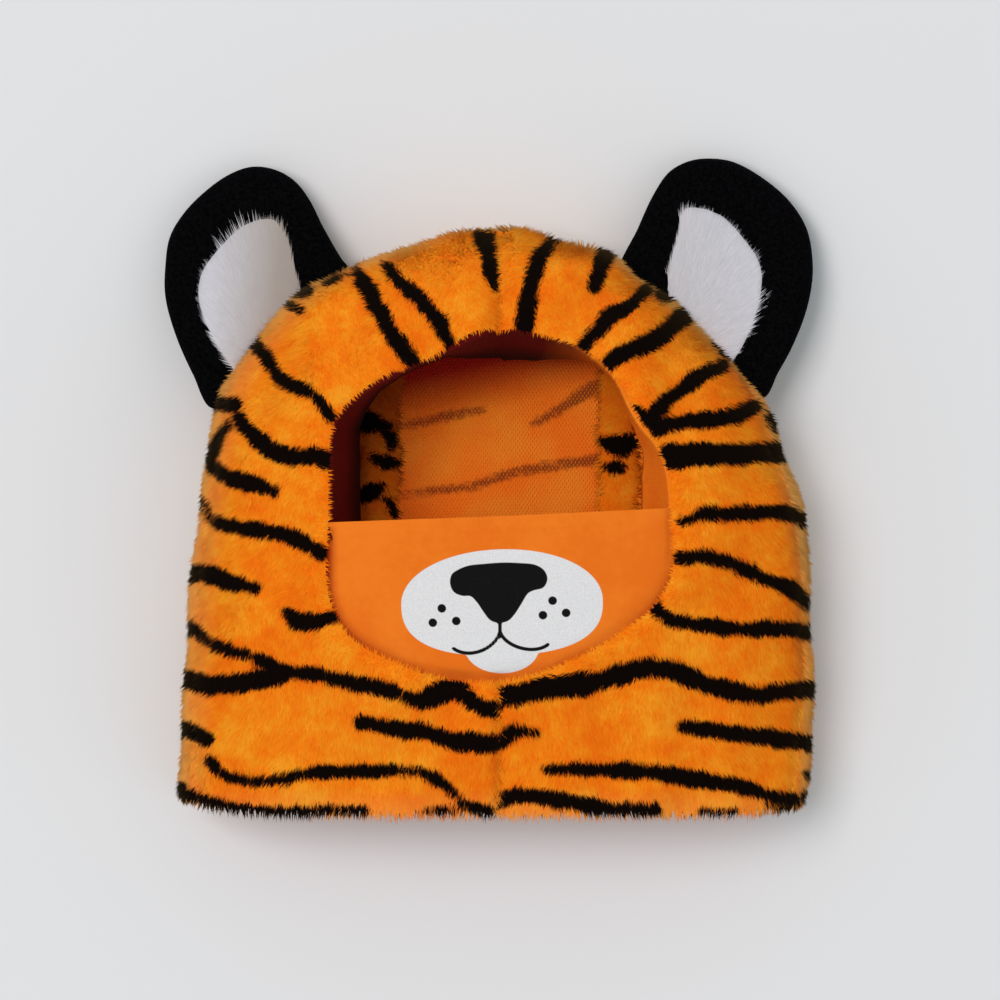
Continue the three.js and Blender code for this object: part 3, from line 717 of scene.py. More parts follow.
def pile_tree():
    """Geometry Nodes that plant pointed hairs on a cloth. The cloth brings its own attributes: grows, the
    faces with hairs, pile, how densely they stand, lean, their direction, long, their share of the full
    length, and tufted, how far they part into tufts."""
    tree = bpy.data.node_groups.new("pile", "GeometryNodeTree")
    for name, kind in PILE_INPUTS.items():
        tree.interface.new_socket(name, in_out="INPUT", socket_type="NodeSocket" + kind)
    tree.interface.new_socket("Geometry", in_out="OUTPUT", socket_type="NodeSocketGeometry")
    g = Nodes(tree)
    given = g.add("NodeGroupInput").outputs
    position = g.add("GeometryNodeInputPosition").outputs[0]

    def attribute(name, kind="FLOAT"):
        node = g.add("GeometryNodeInputNamedAttribute", data_type=kind)
        node.inputs["Name"].default_value = name
        return node.outputs["Attribute"]

    def random(low, high, offset, kind="FLOAT"):
        """A random value for each hair. Each offset gives its own."""
        node = g.add("FunctionNodeRandomValue", data_type=kind)
        word = "VALUE" if kind == "FLOAT" else "VECTOR"
        limits = [s for s in node.inputs if s.enabled and s.type == word]
        limits[0].default_value, limits[1].default_value = low, high
        g.put(g.math("ADD", given["Seed"], offset), node.inputs["Seed"])
        return next(s for s in node.outputs if s.enabled)

    def keep(geometry, name, value, kind="FLOAT", domain="POINT"):
        node = g.add("GeometryNodeStoreNamedAttribute", data_type=kind, domain=domain)
        node.inputs["Name"].default_value = name
        g.put(geometry, node.inputs["Geometry"])
        g.put(value, next(s for s in node.inputs if s.name == "Value" and s.enabled))
        return node.outputs["Geometry"]

    def vector(operation, a, b):
        node = g.add("ShaderNodeVectorMath", operation=operation)
        g.put(a, node.inputs[0])
        g.put(b, node.inputs["Scale" if operation == "SCALE" else 1])
        return node.outputs[0]

    def fill(kind, values, **settings):
        """A node with these inputs set or joined."""
        node = g.add(kind, **settings)
        for name, value in values.items():
            g.put(value, node.inputs[name])
        return node.outputs

    planted = fill("GeometryNodeDistributePointsOnFaces", {
        "Mesh": given["Geometry"], "Selection": attribute("grows"), "Seed": given["Seed"],
        "Density": g.math("MULTIPLY", given["Density"], attribute("pile"))}, distribute_method="RANDOM")
    points = keep(planted["Points"], "skin", planted["Normal"], "FLOAT_VECTOR")

    ruffled = vector("SCALE", random((-1, -1, -1), (1, 1, 1), 7, "FLOAT_VECTOR"), given["Ruffle"])
    cloud = fill("ShaderNodeTexNoise", {
        "Vector": position, "Detail": 1.0, "Scale": g.math("DIVIDE", 1.0, given["Clump size"])})
    centred = vector("SUBTRACT", cloud["Color"], (0.5, 0.5, 0.5))
    tufts = vector("SCALE", centred, g.math("MULTIPLY", given["Clump"], attribute("tufted")))
    way = vector("ADD", vector("ADD", attribute("lean", "FLOAT_VECTOR"), ruffled), tufts)
    aimed = fill("FunctionNodeAlignRotationToVector", {"Vector": way}, axis="Z")
    spin = fill("ShaderNodeCombineXYZ", {"Z": random(0.0, 2 * math.pi, 11)})
    spun = fill("FunctionNodeRotateRotation", {0: aimed[0], 1: spin[0]}, rotation_space="LOCAL")

    width = g.math("MULTIPLY", given["Width"], random(0.7, 1.3, 3))
    length = g.math("MULTIPLY", g.math("MULTIPLY", given["Length"], random(0.7, 1.1, 5)),
                    attribute("long"))
    size = fill("ShaderNodeCombineXYZ", {"X": width, "Y": width, "Z": length})
    hair = fill("GeometryNodeMeshCone", HAIR_SHAPE, fill_type="NGON")
    height = fill("ShaderNodeSeparateXYZ", {0: position})
    grown = fill("GeometryNodeInstanceOnPoints", {
        "Points": points, "Instance": keep(hair["Mesh"], "reach", height["Z"]), "Rotation": spun[0],
        "Scale": size[0]})
    toned = keep(grown["Instances"], "tone", random(0.0, 1.0, 13), domain="INSTANCE")
    real = fill("GeometryNodeRealizeInstances", {"Geometry": toned})
    painted = fill("GeometryNodeSetMaterial", {"Geometry": real["Geometry"], "Material": given["Finish"]})
    fill("NodeGroupOutput", {"Geometry": painted["Geometry"]})
    return tree


PILE_TREE = pile_tree()
FLOOR_CLEARANCE = 0.15  # the least height of a hair over the floor
HAIR_SPREAD = 0.6  # how much of its true spread a hair keeps where it reads the stripes
TIP_SHARE = 0.6  # how much a hair's tip weighs in its middle
HAIR_RELIEF = 0.26  # how much a hair's own normal weighs against its cloth's
UNEVEN = [(0.5, 6, 77), (0.4, 17, 78)]  # waves of a stripe's edge: height, size and seed


def from_above(points):
    return points[:, :2]


def grow_pile(cloth, name, hairs, length, width, finish, seed, dye=None, ruffle=0.22, clump=0.55,
              clump_size=5.0, flat=from_above):
    """Hairs on a cloth as a plain mesh of their own, about this many of them. Sizes are in millimetres.
    flat gives the plan places of points, and dye is the raster of the stripes."""
    grower = placed(name + "_grower", cloth.data)
    modifier = grower.modifiers.new("pile", "NODES")
    modifier.node_group = PILE_TREE
    values = {"Density": hairs / planted_area(cloth), "Length": length * MM, "Width": width * MM,
              "Ruffle": ruffle, "Clump": clump, "Clump size": clump_size * MM, "Seed": seed,
              "Finish": finish}
    for socket in PILE_TREE.interface.items_tree:
        if socket.name in values:
            modifier[socket.identifier] = values[socket.name]
    mesh = plain_mesh(grower)
    bpy.data.objects.remove(grower)
    mesh.name = name
    for spare in ("pile", "lean", "long", "grows", "tufted"):
        if spare in mesh.attributes:
            mesh.attributes.remove(mesh.attributes[spare])
    piece = placed(name, mesh)
    piece.visible_shadow = False
    piece.visible_diffuse = False
    points = mesh_points(piece)
    points[:, 2] = np.maximum(points[:, 2], FLOOR_CLEARANCE)
    mesh.vertices.foreach_set("co", (points * MM).astype(np.float32).ravel())
    mesh.update()
    share_shade(piece)
    if dye is not None:
        dye_piece(piece, flat(drawn_together(piece, points)), dye)
    map_from_above(piece, flat(points))
    return piece


def share_shade(piece):
    """Turns the normals of a pile nearly to those of its cloth, as the soft mass of a pile is shaded."""
    normals = unit(stored(piece, "skin") + HAIR_RELIEF * mesh_normals(piece))
    piece.data.normals_split_custom_set_from_vertices(normals.tolist())
    piece.data.attributes.remove(piece.data.attributes["skin"])


def drawn_together(piece, points):
    """Each hair's points drawn toward its middle, so that a narrow stripe still shows on long hairs."""
    reach = stored(piece, "reach").reshape(-1, HAIR_POINTS)
    hairs = points.reshape(-1, HAIR_POINTS, 3)
    share = np.where(reach > 0.5, TIP_SHARE, (1 - TIP_SHARE) / (HAIR_POINTS - 1))
    middle = (hairs * share[..., None]).sum(1, keepdims=True)
    return (middle + HAIR_SPREAD * (hairs - middle)).reshape(-1, 3)


def dye_piece(piece, plan, raster):
    """Stores where the stripes lie on a piece, and the painted sheen of its pale edges, by its points' plan
    places.
    """
    uneven = sum(height * waves(with_z(plan), size, seed) for height, size, seed in UNEVEN)
    store(piece, "stripe", read_raster(raster, plan) + STRIPE_GAIN + uneven)
    store(piece, "pale", bleach_at(plan))


def map_from_above(piece, plan):
    """The pile's own flat map, on which each hair lies at its plan place."""
    corners = np.empty(len(piece.data.loops), np.int32)
    piece.data.loops.foreach_get("vertex_index", corners)
    shares = (plan - plan.min(0)) / np.ptp(plan, axis=0).max() * 0.98 + 0.01
    layer = piece.data.uv_layers.new(name="OFBake")
    layer.data.foreach_set("uv", shares[corners].astype(np.float32).ravel())


def planted_area(cloth):
    """The area in square metres that carries hairs, weighed by their share of the full density."""
    share, grows = stored(cloth, "pile"), stored(cloth, "grows")
    return sum(p.area * share[list(p.vertices)].mean() for p, yes in zip(cloth.data.polygons, grows) if yes)


def comb(piece, count, lay, toward=(0.0, -1.0, 0.0), swirl=0.35, seed=1, thick=1.0, long=1.0,
         tufted=1.0):
    """Tells a cloth how its hairs stand. They grow on the faces whose points all come before count, and
    lean along the cloth toward one way."""
    points, normals = mesh_points(piece), mesh_normals(piece)
    way = np.broadcast_to(np.asarray(toward, float), points.shape).copy()
    for axis in range(3):
        way[:, axis] += swirl * waves(points, 34, seed * 10 + axis)
    flat = unit(way - normals * (way * normals).sum(1)[:, None])
    lay = np.broadcast_to(np.asarray(lay, float), len(points))
    store(piece, "grows", [float(max(p.vertices) < count) for p in piece.data.polygons], "FACE")
    store(piece, "lean", unit(normals * np.sqrt(1 - lay ** 2)[:, None] + flat * lay[:, None]))
    for name, values in (("pile", thick), ("long", long), ("tufted", tufted)):
        store(piece, name, np.broadcast_to(np.asarray(values, float), len(points)))


# Finishes

class Effect(Nodes):
    """A shader group of these named inputs and one named output, shared by several finishes."""

    def __init__(self, name, output, **inputs):
        self.group = bpy.data.node_groups.new(name, "ShaderNodeTree")
        kinds = {"value": "NodeSocketFloat", "colour": "NodeSocketColor"}
        for word, kind in inputs.items():
            self.group.interface.new_socket(word, in_out="INPUT", socket_type=kinds[kind])
        result = kinds.get(output, kinds["value"])
        self.group.interface.new_socket(output, in_out="OUTPUT", socket_type=result)
        super().__init__(self.group)
        self.given = self.add("NodeGroupInput").outputs
        self.result = self.add("NodeGroupOutput").inputs[output]

    def done(self, value):
        self.put(value, self.result)
        return self.group


def stripe_dye():
    """1 where the black dye took and 0 elsewhere, with a ragged edge this many millimetres wide."""
    e = Effect("stripe_dye", "mask", depth="value", ragged="value", fray="value")
    edge = e.math("MULTIPLY", e.math("SUBTRACT", e.given["ragged"], 0.5), e.given["fray"])
    return e.done(e.between(e.math("ADD", e.given["depth"], edge), -0.9, 0.9))


def plush_orange():
    """Orange in deep and light patches, paled with painted sheen where it is told, with a tone for each hair.
    """
    e = Effect("plush_orange", "colour", tone="value", bleach="value", deep="colour", orange="colour",
               light="colour", bleached="colour")
    patches = e.math("ADD", e.math("MULTIPLY", e.noise(24), 0.6), e.math("MULTIPLY", e.noise(7), 0.6))
    mixed = e.math("ADD", patches, e.math("MULTIPLY", e.math("SUBTRACT", e.given["tone"], 0.5), 0.22))
    base = e.mix(e.between(mixed, 0.40, 0.64), e.given["deep"], e.given["orange"])
    base = e.mix(e.between(mixed, 0.60, 0.84), base, e.given["light"])
    return e.done(e.mix(e.given["bleach"], base, e.given["bleached"]))


def root_shade():
    """A hair's colour, darkened at its root: painted shade deep in the pile."""
    e = Effect("root_shade", "colour", reach="value", root="colour", hair="colour")
    tint = e.mix(e.between(e.given["reach"], 0.0, 0.6), e.given["root"], (1.0, 1.0, 1.0))
    return e.done(e.mix(1.0, e.given["hair"], tint, "MULTIPLY"))


def woven_threads():
    """A plain weave's height, in the plane of the cloth."""
    e = Effect("woven_threads", "height", pitch="value")
    return e.done(e.math("ADD", e.bands(e.given["pitch"], 0.0), e.bands(e.given["pitch"], math.pi / 2)))


def cloth_mottle():
    """Smooth cloth between two near colours, in soft clouds, deeper between its threads."""
    e = Effect("cloth_mottle", "colour", threads="value", deep="colour", light="colour")
    cloud = e.math("ADD", e.math("MULTIPLY", e.noise(30), 0.7), e.math("MULTIPLY", e.noise(4), 0.3))
    base = e.mix(e.between(cloud, 0.35, 0.65), e.given["deep"], e.given["light"])
    return e.done(e.mix(e.between(e.given["threads"], 0.2, 1.2, 0.10, 0.0), base, e.given["deep"]))


def nap():
    """The fine cloudy height of a short nap."""
    e = Effect("nap", "height", size="value")
    return e.done(e.noise(e.given["size"]))


STRIPE_DYE, PLUSH_ORANGE, ROOT_SHADE = stripe_dye(), plush_orange(), root_shade()
WOVEN_THREADS, CLOTH_MOTTLE, NAP = woven_threads(), cloth_mottle(), nap()


class Finish(Nodes):
    """A material under construction."""

    def __init__(self, name, roughness=0.9, sheen=0.0, sheen_tint=(1, 1, 1), specular=0.25):
        self.material = bpy.data.materials.new(name)
        self.material.use_nodes = True
        super().__init__(self.material.node_tree)
        self.nodes.clear()
        self.shader = self.add("ShaderNodeBsdfPrincipled")
        out = self.add("ShaderNodeOutputMaterial")
        self.links.new(self.shader.outputs[0], out.inputs["Surface"])
        self.shader.inputs["Roughness"].default_value = roughness
        self.shader.inputs["Specular IOR Level"].default_value = specular
        self.shader.inputs["Sheen Weight"].default_value = sheen
        self.shader.inputs["Sheen Roughness"].default_value = 0.5
        self.shader.inputs["Sheen Tint"].default_value = (*sheen_tint, 1)

    def attribute(self, name):
        return self.add("ShaderNodeAttribute", attribute_name=name).outputs["Fac"]

    def bump(self, height, distance, strength=1.0):
        node = self.add("ShaderNodeBump")
        node.inputs["Strength"].default_value = strength
        node.inputs["Distance"].default_value = distance * MM
        self.put(height, node.inputs["Height"])
        self.links.new(node.outputs[0], self.shader.inputs["Normal"])

    def colour(self, value):
        self.put(value, self.shader.inputs["Base Color"])
        return self.material


# The pale colour here is painted sheen along the pile's edges, where it is seen edge-on.
PLUSH = {
    "deep": (0.95, 0.170, 0.004), "orange": (0.98, 0.245, 0.0065), "light": (0.99, 0.36, 0.018),
    "bleached": (0.92, 0.46, 0.12),
}
# Painted shade at the roots of the hairs, deep in the pile.
PLUSH_ROOT_SHADE = (0.96, 0.78, 0.62)
# Painted shade on the seam allowances, which lie in the hood's shade.
PLUSH_SHADED = (0.22, 0.022, 0.003)
PLUSH_BLACK = (0.0028, 0.0012, 0.0008)
HAIR_FRAY, CLOTH_FRAY = 1.9, 1.2  # width in millimetres of the ragged edge of a stripe
PANEL_DYE = {"deep": (0.84, 0.165, 0.008), "light": (0.90, 0.205, 0.013)}
FACING_DYE = {"deep": (0.97, 0.21, 0.009), "light": (1.0, 0.27, 0.014)}
# Painted shade of the facing where it turns away from the light, and its painted shadow toward the foot.
FACING_SHADE = {"edge": (0.10, 0.0020, 0.0012), "foot": (0.014, 0.0007, 0.0006)}
# Painted shade of the face panel where it runs under the plush's edge.
PANEL_SEAM_SHADE = (0.36, 0.028, 0.002)
INK = {"pale": ((0.72, 0.71, 0.72), (0.80, 0.79, 0.80)),
       "dark": ((0.0022, 0.0022, 0.0024), (0.0045, 0.0045, 0.005))}
VELVET_DYE = ((0.0010, 0.0010, 0.0012), (0.003, 0.003, 0.0035))
# The darker warm colours are painted shade toward the insets' inner side, and root is painted shade at the
# roots of the white hairs.
WHITE = {"hair": ((0.57, 0.565, 0.61), (0.71, 0.70, 0.75)), "inner_rim_shade_colour": (0.41, 0.355, 0.32),
         "root": (0.80, 0.79, 0.80), "backing": (0.56, 0.555, 0.60), "inner_rim_shade_backing": (0.39, 0.34, 0.30)}
KNIT_STITCH = {"pitch": 1.35, "slant": math.radians(32)}
# crown is the colour of the painted shade under the crown.
KNIT_DYE = {"deep": (1.0, 0.20, 0.010), "light": (1.0, 0.285, 0.019), "holes": (0.55, 0.085, 0.006),
            "stripe": (0.13, 0.022, 0.006), "crown": (0.35, 0.007, 0.004)}


def hair_finish():
    """Plush hairs: orange or black by the stripe they stand in, with painted shade at the root, painted shade
    on the seam allowances and painted sheen at the pale edges.
    """
    f = Finish("plush_hair", roughness=0.9, sheen=0.06, sheen_tint=(1.0, 0.6, 0.2), specular=0.04)
    tone = f.attribute("tone")
    mask = f.use(STRIPE_DYE, depth=f.attribute("stripe"), ragged=tone, fray=HAIR_FRAY)["mask"]
    orange = f.use(PLUSH_ORANGE, tone=tone, bleach=f.attribute("pale"), **PLUSH)["colour"]
    orange = f.mix(f.attribute("shaded"), orange, PLUSH_SHADED)
    shaded = f.use(ROOT_SHADE, reach=f.attribute("reach"), root=PLUSH_ROOT_SHADE, hair=orange)["colour"]
    return f.colour(f.mix(mask, shaded, PLUSH_BLACK))


def backing_finish():
    """The plush's skin between the hairs, in the same stripes, with the same painted shade and painted sheen.
    """
    f = Finish("plush_backing", roughness=0.95, specular=0.04)
    ragged = f.noise(1.2, 1.0)
    mask = f.use(STRIPE_DYE, depth=f.attribute("stripe"), ragged=ragged, fray=CLOTH_FRAY)["mask"]
    orange = f.use(PLUSH_ORANGE, tone=0.3, bleach=f.attribute("pale"), **PLUSH)["colour"]
    orange = f.mix(f.attribute("shaded"), orange, PLUSH_SHADED)
    f.bump(f.use(NAP, size=1.2)["height"], 0.1)
    return f.colour(f.mix(mask, orange, PLUSH_BLACK))


def knit_finish():
    """The plush's wrong side: a fine orange knit with the stripes showing faintly through it, and painted
    shade under the crown and by the right seam.
    """
    f = Finish("knit_wrong_side", roughness=0.85, sheen=0.1, sheen_tint=(1.0, 0.5, 0.2), specular=0.1)
    pitch, slant = KNIT_STITCH["pitch"], KNIT_STITCH["slant"]
    knit = f.math("MULTIPLY", f.bands(pitch, slant), f.bands(pitch, -slant))
    base = f.mix(f.between(f.noise(22), 0.35, 0.7), KNIT_DYE["deep"], KNIT_DYE["light"])
    base = f.mix(f.between(knit, 0.0, 0.6, 0.22, 0.0), base, KNIT_DYE["holes"])
    ragged = f.math("MULTIPLY", f.math("SUBTRACT", f.noise(1.6), 0.5), 4.0)
    mask = f.between(f.math("ADD", f.attribute("inner_stripe"), ragged), -0.2, 2.6, 0.0, 0.85)
    mask = f.math("MULTIPLY", mask, f.between(knit, 0.1, 0.5, 1.0, 0.45))
    f.bump(knit, 0.35)
    worn = f.mix(mask, base, KNIT_DYE["stripe"])
    return f.colour(f.mix(f.attribute("crown_shade_share"), worn, KNIT_DYE["crown"]))


def panel_finish():
    """The face panel's cloth with its printed muzzle, and painted shade where it runs under the plush's edge.
    Both inks follow distances stored on the cloth.
    """
    f = Finish("face_panel_cloth", roughness=0.8, sheen=0.06, sheen_tint=(1.0, 0.6, 0.3), specular=0.1)
    threads = f.use(WOVEN_THREADS, pitch=0.6)["height"]
    base = f.use(CLOTH_MOTTLE, threads=threads, **PANEL_DYE)["colour"]
    base = f.mix(f.attribute("seam_shade_share"), base, PANEL_SEAM_SHADE)
    f.bump(threads, 0.10, 0.6)
    white = f.between(f.attribute("ink_white"), -0.2, 0.2)
    black = f.between(f.attribute("ink_black"), -0.2, 0.2)
    grain = f.between(f.noise(0.7), 0.3, 0.7)
    pale, dark = (f.mix(grain, *INK[word]) for word in ("pale", "dark"))
    return f.colour(f.mix(black, f.mix(white, base, pale), dark))


def facing_finish():
    """Smooth cloth, orange where it lies open, with painted shade where it turns away from the light under
    the plush and a painted shadow toward its foot.
    """
    f = Finish("facing_cloth", roughness=0.85, specular=0.1)
    threads = f.use(WOVEN_THREADS, pitch=0.7)["height"]
    base = f.use(CLOTH_MOTTLE, threads=threads, **FACING_DYE)["colour"]
    f.bump(threads, 0.12, 0.6)
    under = f.mix(f.between(f.attribute("foot"), 0.45, 1.0), FACING_SHADE["edge"], FACING_SHADE["foot"])
    return f.colour(f.mix(f.attribute("facing_shade_share"), base, under))


def velvet_finish():
    f = Finish("black_velvet", roughness=1.0, sheen=0.03, sheen_tint=(0.5, 0.5, 0.55), specular=0.0)
    height = f.use(NAP, size=1.4)["height"]
    f.bump(height, 0.2)
    return f.colour(f.mix(f.between(height, 0.3, 0.7), *VELVET_DYE))


def white_hair_finish():
    """White plush with warm painted shade toward the inner side of the ear, and painted shade at the roots.
    """
    f = Finish("white_plush", roughness=0.8, sheen=0.1, sheen_tint=(0.95, 0.95, 1.0), specular=0.12)
    white = f.mix(f.attribute("tone"), *WHITE["hair"])
    inner_rim_shade_colour = f.mix(f.attribute("inner_rim_shade"), white, WHITE["inner_rim_shade_colour"])
    return f.colour(f.use(ROOT_SHADE, reach=f.attribute("reach"), root=WHITE["root"], hair=inner_rim_shade_colour)["colour"])


def white_backing_finish():
    # The darker warm colour is painted shade toward the inset's inner side.
    f = Finish("white_backing", roughness=0.9, specular=0.1)
    f.bump(f.use(NAP, size=0.9)["height"], 0.4)
    return f.colour(f.mix(f.attribute("inner_rim_shade"), WHITE["backing"], WHITE["inner_rim_shade_backing"]))


HAIR = hair_finish()
BACKING_SKIN = backing_finish()
KNIT = knit_finish()
PANEL_CLOTH_FINISH = panel_finish()
FACING_CLOTH = facing_finish()
VELVET = velvet_finish()
WHITE_HAIR = white_hair_finish()
WHITE_BACKING = white_backing_finish()


# Plush panels

def plump_depth(place, turn, depth):
    """Depth with the plush's soft lumps and the creases along its seams added."""
    base = hood_point(place, turn, depth)
    added = LUMP["height"] * waves(base, LUMP["size"], 3) * np.clip(base[..., 2] / LUMP["fade"], 0, 1)
    on_top = (turn > SEAM_CREASE["turn"]) & (turn < math.pi - SEAM_CREASE["turn"])
    crease = np.exp(-((base[..., 0] - CENTRE_SEAM) / SEAM_CREASE["width"]) ** 2)
    added = added + SEAM_CREASE["depth"] * crease * on_top
    for side in (1, -1):
        gap = (turn - seam_turn(place, side)) / SIDE_CREASE["turn"]
        added = added + SIDE_CREASE["depth"] * np.exp(-gap ** 2)
    return depth + added


HEM_PLACE = float(place_at(HEM + OVERHANG["hem"]))


def even_places(count):
    """Places in even steps along the middle of the front, from the hem over the crown to its tip."""
    places = PLACES[PLACES > HEM_PLACE]
    line = hood_point(places, math.pi / 2, BACKING_DEPTH)
    walked = np.concatenate([[0], np.cumsum(np.linalg.norm(np.diff(line, axis=0), axis=1))])
    return np.interp(np.linspace(0, walked[-1], count), walked, places)


SEAM_REACH = 0.4  # how far off its middle a section's centre seam may lie, as a share of its width


def front_grid(side, depth, rows, columns):
    """Place, turn and distance from the opening for one side of the front, from the centre seam to the
    side seam. Points inside the opening are drawn out to its edge."""
    place = even_places(rows)[:, None]
    left, right = column(place, LEFT), column(place, RIGHT)
    middle, reach = (left + right) / 2, (right - left) * SEAM_REACH
    seam_x = middle + np.clip(CENTRE_SEAM + SEAM_GAP["centre"] * side - middle, -reach, reach)
    first = turn_at(seam_x, place, depth)
    last = seam_turn(place, side) + side * SEAM_GAP["side"]
    turn = first + (last - first) * np.linspace(0, 1, columns)
    place = place + np.zeros(turn.shape)
    plan = hood_point(place, turn, depth)[..., :2].reshape(-1, 2)
    inside = distance_inside(plan, PLUSH_EDGE)
    for k in np.nonzero(inside > 0)[0]:
        plan[k] = PLUSH_EDGE[np.argmin(((PLUSH_EDGE - plan[k]) ** 2).sum(1))]
    inside = inside.reshape(turn.shape)
    edge_place = place_at(plan[:, 1], depth).reshape(turn.shape)
    edge_turn = turn_at(plan[:, 0], edge_place.ravel(), depth).reshape(turn.shape)
    place, turn = np.where(inside > 0, edge_place, place), np.where(inside > 0, edge_turn, turn)
    return place, turn, inside


def plush_underside(x, y):
    """How deep the wrong side of the front plush lies at plan points."""
    place = place_at(y, BACKING_DEPTH)
    turn = turn_at(x, place, BACKING_DEPTH)
    return plump_depth(place, turn, BACKING_DEPTH) + BACKING


def both(values, inner=0.0):
    """Values for a sheet's points: these on its outer grid and one value on its inner grid."""
    return np.concatenate([values, np.full(len(values), float(inner))])


def pile_lay(piece, count):
    """How flat the pile lies: nearly upright on top, flatter on the sides and flattest along the hem."""
    normals, y = mesh_normals(piece)[:count], mesh_points(piece)[:count, 1]
    lay = np.interp(normals[:, 2], LAY_FROM["side"], [LAY["side"], LAY["top"]])
    lay = np.maximum(lay, np.interp(normals[:, 1], LAY_FROM["crown"], [0, LAY["crown"]]))
    return lay + (LAY["hem"] - lay) * np.interp(y - HEM, LAY_FROM["hem"], [1, 0])


FRONT_GRID = (150, 84)


def front_panel(side, name):
    place, turn, inside = front_grid(side, BACKING_DEPTH, *FRONT_GRID)
    gap = np.clip(-inside, 0, None)
    deep = plump_depth(place, turn, BACKING_DEPTH)
    rolled = deep + RIM_ROLL["depth"] * np.clip(1 - gap / RIM_ROLL["width"], 0, 1) ** 2
    outer = hood_point(place, turn, rolled)
    inner = hood_point(place, turn, deep + BACKING)
    faces = np.array(grid_faces(*FRONT_GRID))
    faces = faces[(inside.ravel()[faces] <= 0).any(axis=1)]
    used = np.unique(faces)
    piece = sheet_mesh(name, outer, inner, faces)
    flat = outer.reshape(-1, 3)[used, :2]
    count = len(flat)
    rim = np.clip(1 - gap.ravel()[used] / RIM_WIDTH, 0, 1)
    aims = OPENING_EDGE - RIM_AIM * outward_of(OPENING_EDGE)
    nearest = aims[np.argmin(((flat[:, None] - aims[None]) ** 2).sum(-1), axis=1)]
    inward = unit(nearest - flat) * rim[:, None] + np.array([0, -1]) * (1 - rim)[:, None]
    toward = with_z(np.concatenate([inward, inward]))
    lay = pile_lay(piece, count)
    lay = lay + (LAY["rim"] - lay) * rim
    tufted = np.interp(flat[:, 1], TUFTS["y"], TUFTS["share"]) * (1 - TUFTS["rim"] * rim)
    long = 1 - LONG["rim"] * rim + LONG["flat"] * (lay - LAY["top"])
    swirl = np.interp(mesh_points(piece)[:, 1], [HEM, HEM + SWIRL["over_hem"]], [SWIRL["hem"], SWIRL["rest"]])
    comb(piece, count, both(lay), toward, swirl, seed=2, long=both(long), tufted=both(tufted))
    dye_piece(piece, np.concatenate([flat, flat]), STRIPES_OF[side])
    store(piece, "inner_stripe", np.full(2 * count, OUTSIDE))
    dress(piece, BACKING_SKIN, KNIT, count)
    return piece


STRIP_STEPS = 260


def back_strip(side, place, depth, columns):
    """One row of a back panel's points. side is -1 or 1 for the outer panels and 0 for the middle one."""
    if side:
        end = -2.0 if side > 0 else math.pi + 2
        turns = np.linspace(seam_turn(place, side) - side * SEAM_GAP["side"], end, STRIP_STEPS)
    else:
        turns = np.concatenate([np.linspace(math.pi + 0.02, math.pi + 2, 200), np.linspace(-2, -0.02, 200)])
    places = np.full(len(turns), float(place))
    points = hood_point(places, turns, plump_depth(places, turns, depth))
    (right, left), gap = BACK_SEAMS, SEAM_GAP["back"]
    low, high = {-1: (-np.inf, right - gap), 0: (right + gap, left - gap), 1: (left + gap, np.inf)}[side]
    kept = points[(points[:, 0] >= low) & (points[:, 0] <= high)]
    return along(kept, np.linspace(0, 1, columns)) if len(kept) > 1 else None


# Painted shade inside the back, under the crown and by the right seam: where it begins and ends, and how
# much.
CROWN_SHADE = {"slope": 0.23, "from": 33, "to": 54, "most": 0.985}
SEAM_SHADE = {"to": -14, "most": 0.3}
FLOOR_SIDE = {"under": 6, "pile": 0.45}  # below this height the pile is pressed flat, and sparser
BACK_GRID = {"rows": 120, "side": 46, "centre": 28}
ROLLED_SLACK = 0.25  # how much further a stripe runs on the rolled out cloth for each millimetre below


def back_panel(side, name):
    columns = BACK_GRID["side" if side else "centre"]
    grids = []
    for depth in (BACKING_DEPTH, BACKING_DEPTH + BACKING):
        strips = [back_strip(side, place, depth, columns)
                  for place in np.linspace(HEM_PLACE, LAST - 0.001, BACK_GRID["rows"])]
        grids.append([row for row in strips if row is not None])
    shared = min(map(len, grids))
    outer, inner = (np.array(grid[:shared]) for grid in grids)
    piece = sheet_mesh(name, outer, inner)
    flat = outer.reshape(-1, 3)
    count = len(flat)
    low = flat[:, 2] < FLOOR_SIDE["under"]
    lay = np.where(low, LAY["under"], pile_lay(piece, count))
    thick = both(np.where(low, FLOOR_SIDE["pile"], 1.0))
    comb(piece, count, both(lay), seed=5, thick=thick, tufted=both(np.full(count, 0.6)))
    rolled = rolled_out(flat)
    dye_piece(piece, np.concatenate([rolled, rolled]), STRIPES_OF[side])
    plan = np.concatenate([flat, inner.reshape(-1, 3)])[:, :2]
    store(piece, "inner_stripe", stripe_depth(plan, INNER_ROWS))
    # Painted shade under the crown and by the right seam.
    upward = plan[:, 1] - CROWN_SHADE["slope"] * plan[:, 0]
    crown = np.interp(upward, [CROWN_SHADE["from"], CROWN_SHADE["to"]], [0, CROWN_SHADE["most"]])
    seam = np.interp(plan[:, 0], [BACK_SEAMS[0], SEAM_SHADE["to"]], [SEAM_SHADE["most"], 0])
    store(piece, "crown_shade_share", np.maximum(crown, seam))
    dress(piece, BACKING_SKIN, KNIT, count)
    return piece


def rolled_out(points):
    """Plan places of points on the sides and back, with the cloth past the outline rolled out flat."""
    x, y, z = np.transpose(points)
    place = place_at(y)
    left, right, side = column(place, LEFT), column(place, RIGHT), column(place, SIDE)
    below = np.clip(side - z, 0, None)
    rightward = x - left < right - x
    walk = np.clip(np.where(rightward, x - left, right - x), 0, None)
    walk = np.hypot(walk, below) + ROLLED_SLACK * below
    beyond = np.where(rightward, left - walk, right + walk)
    return np.stack([np.where(z < side, beyond, x), y], -1)


# Inside the opening

